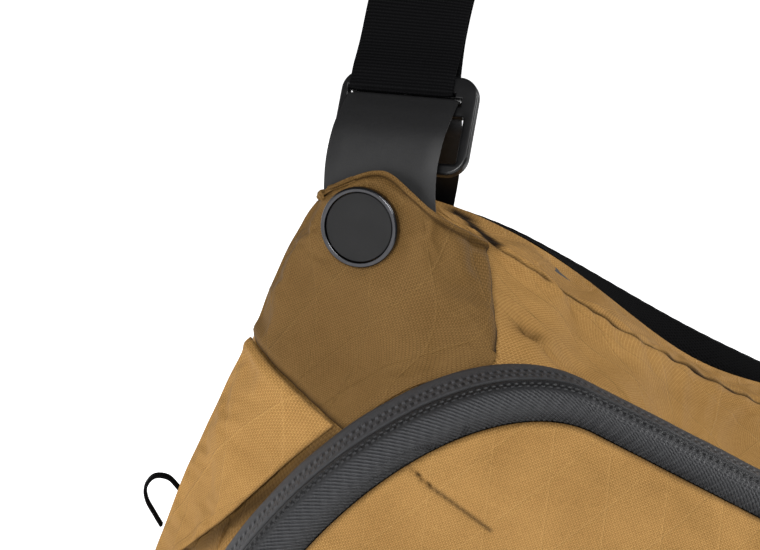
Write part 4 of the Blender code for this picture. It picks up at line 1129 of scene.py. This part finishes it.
def moulded_plate(name, loops, depth, bevel, origin, across, up):
    """A moulded plate with round edges from closed loops; the edges stay inside the loops."""
    curve = bpy.data.curves.new(name, "CURVE")
    curve.dimensions = "2D"
    curve.fill_mode = "BOTH"
    curve.extrude = depth / 2 - bevel
    curve.bevel_depth = bevel
    curve.bevel_resolution = 4
    curve.offset = -bevel
    for loop in loops:
        outline = curve.splines.new("POLY")
        outline.points.add(len(loop) - 1)
        for point, (a, b) in zip(outline.points, loop):
            point.co = (a, b, 0.0, 1.0)
        outline.use_cyclic_u = True
    mesh = evaluated_mesh(new_object(name + "_curve", curve))
    mesh.transform(axes_matrix(across, up, across.cross(up), origin))
    return finish_piece(name, turn_outwards(mesh, 0.005 * MM), 35)


def build_frames():
    """The buckle frame: a stepped slot for the webbing and the tab, and one for the tab's return."""
    across, up, _ = anchor_axes()
    web_side, tab_side = WEB_WIDTH / 2 + 0.5 * MM, TAB_WIDTH / 2 + 0.4 * MM
    slot_left = TAB_SHIFT - tab_side
    loops = [rounded_box(FRAME_SHIFT - FRAME_HALF, FRAME_SHIFT + FRAME_HALF, FRAME_BOTTOM, FRAME_TOP, 0.008),
             [(slot_left, FRAME_BAR), (TAB_SHIFT + tab_side, FRAME_BAR), (TAB_SHIFT + tab_side, SLOT_STEP),
              (WEB_SHIFT + web_side, SLOT_STEP), (WEB_SHIFT + web_side, WEB_SLOT_TOP),
              (WEB_SHIFT - web_side, WEB_SLOT_TOP), (WEB_SHIFT - web_side, SLOT_STEP),
              (slot_left, SLOT_STEP)],
             rounded_box(slot_left, FRAME_SHIFT + FRAME_HALF - FRAME_RAIL, FRAME_BOTTOM + 4.5 * MM,
                         -FRAME_BAR, 1.2 * MM, 4)]
    left = moulded_plate("moulded_frame_left", loops, FRAME_DEPTH, 1.1 * MM, BAR_CENTRE, across, up)
    place_pair(left, moulded("moulded_frame", roughness=0.33), "strap", "moulded_buckle", "strap_frame")


def turned(name, profile, centre, axis, steps=120):
    """A turned piece: profile is (radius, height) pairs, closed where it doesn't meet the axis."""
    turn = axis.to_track_quat("Z", "Y").to_matrix()
    points = [centre + turn @ Vector((radius * math.cos(angle), radius * math.sin(angle), height))
              for angle in (2 * math.pi * step / steps for step in range(steps))
              for radius, height in profile]
    faces = cells(point_numbers(steps, len(profile), looped=True))[:, [0, 3, 2, 1]]
    return finish_piece(name, new_mesh(name, np.array(points), faces, weld=0.002 * MM), 32)


def build_discs():
    """The rivet's polished rim with a dark groove, and its matte inlay."""
    base = DISC_CENTRE + CORNER_NORMAL * 1.2 * MM
    radius, height = 15.3 * MM, 3.6 * MM
    groove = radius - 1.9 * MM
    rim_profile = ([(groove, 0.4 * MM), (groove, height - 0.9 * MM)]
                   + arc_points(groove + 0.35 * MM, height - 0.35 * MM, 0.35 * MM, 180, 90, 4)
                   + arc_points(radius - 0.9 * MM, height - 0.9 * MM, 0.9 * MM, 90, 0, 8)
                   + [(radius, 0.5 * MM), (radius - 0.3 * MM, 0.0), (groove, 0.0), (groove, 0.4 * MM)])
    rim = turned("rivet_rim_left", rim_profile, base, CORNER_NORMAL)
    inner = groove - GAP
    face = height - 0.5 * MM
    inlay_profile = ([(0.0, face + 0.12 * MM), (inner * 0.5, face + 0.09 * MM)]
                     + arc_points(inner - 0.4 * MM, face - 0.4 * MM, 0.4 * MM, 90, 0, 5)
                     + [(inner, 0.6 * MM), (2.8 * MM, 0.6 * MM), (2.8 * MM, 1.5 * MM), (0.0, 1.5 * MM)])
    inlay = turned("rivet_inlay_left", inlay_profile, base, CORNER_NORMAL)
    place_pair(rim, metal("dark_plated_metal", (0.045, 0.045, 0.048), 0.22), "root", "dark_metal", "disc_rim")
    place_pair(inlay, moulded("inlay_cap", (0.0035, 0.0035, 0.0038), 0.03, 0.7), "root", "disc_inlay",
               "disc_inlay")


def build_gear_loops():
    """Small loops of flat cord sewn into each side."""
    route = spline([(x, 0.0205, z) for x, z in (
        (-0.1538, 0.0690), (-0.1600, 0.0712), (-0.1652, 0.0690), (-0.1662, 0.0635), (-0.1632, 0.0586),
        (-0.1575, 0.0545), (-0.1530, 0.0515))], 16)
    left = ribbon_mesh("side_loop_left", stations_along(route, (0.0, 1.0, 0.0)), 4.2 * MM, 1.4 * MM)
    place_pair(left, webbing_paint("webbing_loop", 0.9), "root", "webbing", "gear_loop")


# ---------------------------------------------------------------- the strap

STRAP_RISE = 0.212
STRAIGHT_END = 0.030
TWIST_START = 0.152
TWIST_LENGTH = 0.130
PLIES_MEET = 0.028                 # where the two plies of the webbing lie together above the bar
BACK_LENGTHS = (0.055, 0.146)      # the sewn end at the left bar and the loose one at the right
ARCH_STEPS = 100


class Arch:
    """The strap's middle line with a width direction that turns from the corner to the top."""

    def __init__(self):
        lean = STRAP_DIRECTION.y / STRAP_DIRECTION.z
        top = Vector((0.0, BAR_CENTRE.y + lean * STRAP_RISE, BAR_CENTRE.z + STRAP_RISE))
        start = BAR_CENTRE + STRAP_DIRECTION * STRAIGHT_END
        pulls = (start, start + STRAP_DIRECTION * 0.120, top + Vector((-0.125, 0.0, 0.0)), top)
        a, b, c, d = (np.array(p) for p in pulls)
        t = np.linspace(0, 1, 401)[:, None]
        curve = a * (1 - t) ** 3 + b * 3 * t * (1 - t) ** 2 + c * 3 * t * t * (1 - t) + d * t ** 3
        left = np.concatenate([[np.array(BAR_CENTRE)], curve])
        self.points = np.concatenate([left, left[-2::-1] * (-1, 1, 1)])
        steps = np.linalg.norm(np.diff(self.points, axis=0), axis=1)
        self.lengths = np.concatenate([[0], np.cumsum(steps)])
        self.length = self.lengths[-1]
        self.corner_across = anchor_axes()[0]
        self.crown_across = Vector((0.0, -STRAP_DIRECTION.z, STRAP_DIRECTION.y)).normalized()

    def position(self, s):
        return Vector([np.interp(s, self.lengths, self.points[:, axis]) for axis in range(3)])

    def frame(self, s):
        """Centre, width direction and outward normal at arc length s from the left bar."""
        if s > self.length / 2:
            centre, across, normal = self.frame(self.length - s)
            mirror = Vector((-1.0, 1.0, 1.0))
            return centre * mirror, across * mirror, normal * mirror
        centre = self.position(s)
        along = (self.position(s + 0.001) - self.position(max(s - 0.001, 0.0))).normalized()
        share = min(1.0, max(0.0, (s - TWIST_START) / TWIST_LENGTH))
        share = share * share * (3 - 2 * share)
        wanted = self.corner_across * (1 - share) + self.crown_across * share
        across = (wanted - along * wanted.dot(along)).normalized()
        return centre + across * WEB_SHIFT, across, across.cross(along).normalized()

def build_webbing(arch):
    """Ribbed webbing: sewn end, round the left bar, over the arch, round the right bar and back."""
    front = WEB_PLY_GAP / 2
    bend = WEB_SLOT_TOP - GAP - WEB_THICKNESS / 2
    side = FRAME_DEPTH / 2 + GAP + WEB_THICKNESS / 2
    quarter = [(side, bend + 0.0034), (side + 0.0002, bend + 0.0012), (side - 0.0008, bend)]
    round_bar = quarter + [(0.0, bend)] + [(-n, s) for n, s in reversed(quarter)]
    converge = [(side, FRAME_TOP + 0.0006), (0.0022, 0.021), (front, PLIES_MEET)]

    def end_route(back_length):
        steps = max(2, round((back_length - PLIES_MEET) / 0.006))
        tail = [(-front, back_length - (back_length - PLIES_MEET) * i / steps) for i in range(steps)]
        return tail + [(-n, s) for n, s in reversed(converge)] + round_bar[::-1] + converge

    left, right = (end_route(length) for length in BACK_LENGTHS)
    right = [(n, arch.length - s) for n, s in reversed(right)]
    middle = [(front, s) for s in np.linspace(0.040, arch.length - 0.040, ARCH_STEPS + 1)]
    coarse = []
    for n, s in left + middle + right:
        centre, across, normal = arch.frame(s)
        coarse.append((*(centre + normal * n), *across))
    dense = spline(coarse, 8)
    run = np.concatenate([[0], np.cumsum(np.linalg.norm(np.diff(dense[:, :3], axis=0), axis=1))])
    wanted = np.arange(0, run[-1], 0.34 * MM)
    even = np.stack([np.interp(wanted, run, dense[:, axis]) for axis in range(6)], 1)
    stations = stations_along(even[:, :3], even[:, 3:], reach=3)
    obj = ribbon_mesh("ribbed_webbing", stations, WEB_WIDTH, WEB_THICKNESS, 12, rib=0.10 * MM)
    wear(obj, webbing_paint("webbing_strap"))
    place(obj, "strap", "webbing", "shoulder_webbing")


def signed_power(value, power):
    return math.copysign(abs(value) ** power, value)


def build_pad(arch, name, top, depth, width, reach, quilted):
    """A shoulder pad along the top of the arch: crowned, with a sewn border."""
    count, around = 150, 36
    points = []
    for index in range(count + 1):
        share = -1 + 2 * index / count
        side = width / 2 * (0.45 + 0.55 * math.sqrt(max(0.0, 1 - abs(share) ** 6)))
        centre, across, normal = arch.frame(arch.length / 2 + reach * share)
        for step in range(around):
            angle = 2 * math.pi * step / around
            a = signed_power(math.cos(angle), 0.35) * side
            n = signed_power(math.sin(angle), 0.6) * depth / 2
            from_edges = side - abs(a), (1 - abs(share)) * reach
            border = sum(bell(away - 5 * MM, 0.9 * MM) for away in from_edges)
            n *= 1 - 0.35 * min(1.0, border)
            if quilted:
                n *= 1 - 0.25 * bell(math.fmod(abs(share) * reach, 0.024) - 0.012, 1.2 * MM)
            points.append(centre + across * a + normal * (top - depth / 2 + n))
    numbers = point_numbers(count + 1, around, closed=True)
    faces = list(cells(numbers)) + [numbers[0, :-1], numbers[-1, :-1]]
    mesh = new_mesh(name, np.array(points), faces)
    layer = mesh.uv_layers.new(name="weave")
    for loop, place_uv in zip(mesh.loops, layer.data):
        row, column = divmod(loop.vertex_index, around)
        place_uv.uv = (row * 2 * reach / count * 1000, math.cos(2 * math.pi * column / around) * width * 500)
    return finish_piece(name, mesh)


def build_shoulder_pads(arch):
    """The padded cover under the webbing and the mesh face below it."""
    top, gap = WEB_PLY_GAP / 2 - WEB_THICKNESS / 2 - 3 * GAP, 4 * GAP
    depth = 0.006
    cover = build_pad(arch, "padded_cover", top, depth, 0.058, 0.125, True)
    wear(cover, plain_weave("pad_cover_weave", (0.008, 0.008, 0.009), (0.03, 0.03, 0.032), uv=True))
    place(cover, "strap", "pad_cover", "shoulder_pad")
    face = build_pad(arch, "pad_mesh_face", top - depth - gap, 0.002, 0.054, 0.122, False)
    wear(face, spacer_mesh("spacer_mesh_pad"))
    place(face, "strap", "air_mesh", "shoulder_pad_mesh")


def refined(node, name, body, slot, material, bevel):
    """A finished copy of a hard CAD piece: its flats merged, and its edges rounded."""
    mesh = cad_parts[node].data.copy()
    mesh.name = name
    tidy = bmesh.new()
    tidy.from_mesh(mesh)
    bmesh.ops.remove_doubles(tidy, verts=tidy.verts, dist=0.005 * MM)
    bmesh.ops.dissolve_limit(tidy, angle_limit=math.radians(1.5), verts=tidy.verts, edges=tidy.edges)
    tidy.to_mesh(mesh)
    tidy.free()
    obj = new_object(name, mesh)
    modifier = obj.modifiers.new("edges", "BEVEL")
    modifier.width = bevel
    modifier.segments = 3
    modifier.angle_limit = math.radians(20)
    finished = evaluated_mesh(obj)
    finished.materials.clear()
    piece = finish_piece(name, finished, 40)
    wear(piece, material)
    place(piece, body, slot, node)


STEEL = (0.13, 0.13, 0.137)


def build_small_pieces():
    """Hard pieces outside the main view, refined from the CAD shapes."""
    refined("tri_glide", "length_adjuster", "glide", "moulded_buckle", moulded("moulded_glide"), 0.5 * MM)
    slider_metal = metal("dark_plated_slider", STEEL, 0.28)
    for side in ("left", "right"):
        refined("zip_slider_" + side, "slider_body_" + side, "slider_" + side, "dark_metal", slider_metal,
                0.3 * MM)
        refined("zip_pull_" + side, "slider_pull_" + side, "pull_" + side, "coated_tab",
                coated("coated_pull_" + side), 0.35 * MM)
        keeper = plain_weave("webbing_keeper_" + side, (0.0022, 0.0022, 0.0026), (0.0125, 0.0125, 0.0135),
                             1.1)
        refined("pad_keeper_" + side, "webbing_keeper_" + side, "strap", "webbing", keeper, 0.2 * MM)


def paint_inner_nodes():
    """Better materials for CAD pieces that stay: they are inside the bag or behind a panel."""
    looks = {"side_padding": foam_paint("foam_sides"),
             "base_board": moulded("stiffener_sheet", (0.04, 0.04, 0.04), 0.03, 0.6),
             "inner_pocket": plain_weave("lining_pocket", (0.07, 0.073, 0.077), (0.15, 0.156, 0.163))}
    for side in ("left", "right"):
        looks["disc_post_" + side] = metal("post_metal_" + side, STEEL, 0.3)
        looks["disc_washer_" + side] = metal("washer_metal_" + side, STEEL, 0.3)
    for node, material in looks.items():
        for slot in bpy.data.objects[node].material_slots:
            slot.material = material


# ---------------------------------------------------------------- camera, light and floor

def make_camera():
    data = bpy.data.cameras.new("camera")
    data.lens = LENS
    data.sensor_width = 36.0
    camera = new_object("camera", data)
    camera.matrix_world = axes_matrix(CAMERA_RIGHT, CAMERA_UP, CAMERA_BACK, CAMERA_PLACE)
    bpy.context.scene.camera = camera


def area_light(name, place_at, size, power):
    data = bpy.data.lights.new(name, "AREA")
    data.shape = "DISK"
    data.size = size
    data.energy = power
    light = new_object(name, data)
    light.location = place_at
    towards = Vector(LIT_PLACE) - Vector(place_at)
    light.rotation_euler = towards.to_track_quat("-Z", "Y").to_euler()


LIT_PLACE = (-0.10, 0.0, 0.18)
ROOM_LIGHT = 0.16
FLOOR_REACH, FLOOR_Z = 4.0, -0.0004


def make_studio():
    """A white room: seen as bright, but lighting the bag only softly, with three soft lights."""
    world = bpy.data.worlds.new("white_room")
    bpy.context.scene.world = world
    world.use_nodes = True
    tree = world.node_tree
    dim = tree.nodes["Background"]
    seen = tree.nodes.new("ShaderNodeBackground")
    for background, strength in ((dim, ROOM_LIGHT), (seen, 1.0)):
        background.inputs["Color"].default_value = (1.0, 1.0, 1.0, 1.0)
        background.inputs["Strength"].default_value = strength
    either = tree.nodes.new("ShaderNodeMixShader")
    tree.links.new(tree.nodes.new("ShaderNodeLightPath").outputs["Is Camera Ray"], either.inputs[0])
    tree.links.new(dim.outputs[0], either.inputs[1])
    tree.links.new(seen.outputs[0], either.inputs[2])
    tree.links.new(either.outputs[0], tree.nodes["World Output"].inputs["Surface"])
    bpy.context.scene.view_settings.view_transform = "Standard"
    area_light("key", (-0.60, -1.25, 0.70), 0.45, 14.0)
    area_light("top", (0.20, -0.45, 1.30), 0.45, 7.0)
    area_light("back", (0.6, 0.5, 0.7), 0.4, 4.0)
    mesh = bpy.data.meshes.new("floor")
    corners = ((-1, -1), (1, -1), (1, 1), (-1, 1))
    mesh.from_pydata([(x * FLOOR_REACH, y * FLOOR_REACH, FLOOR_Z) for x, y in corners], [], [(0, 1, 2, 3)])
    floor = new_object("floor", mesh)
    paint = Paint("pale_floor", (0.9, 0.9, 0.9), 0.8, Emission_Color=(1.0, 1.0, 1.0, 1.0),
                  Emission_Strength=0.9)
    wear(floor, paint.material)


make_camera()
make_studio()
build_shell()
build_rear()
build_bands()
build_pod_base()
build_front_panel()
build_wings()
build_tabs()
build_frames()
build_discs()
build_gear_loops()
strap_arch = Arch()
build_webbing(strap_arch)
build_shoulder_pads(strap_arch)
build_small_pieces()
paint_inner_nodes()
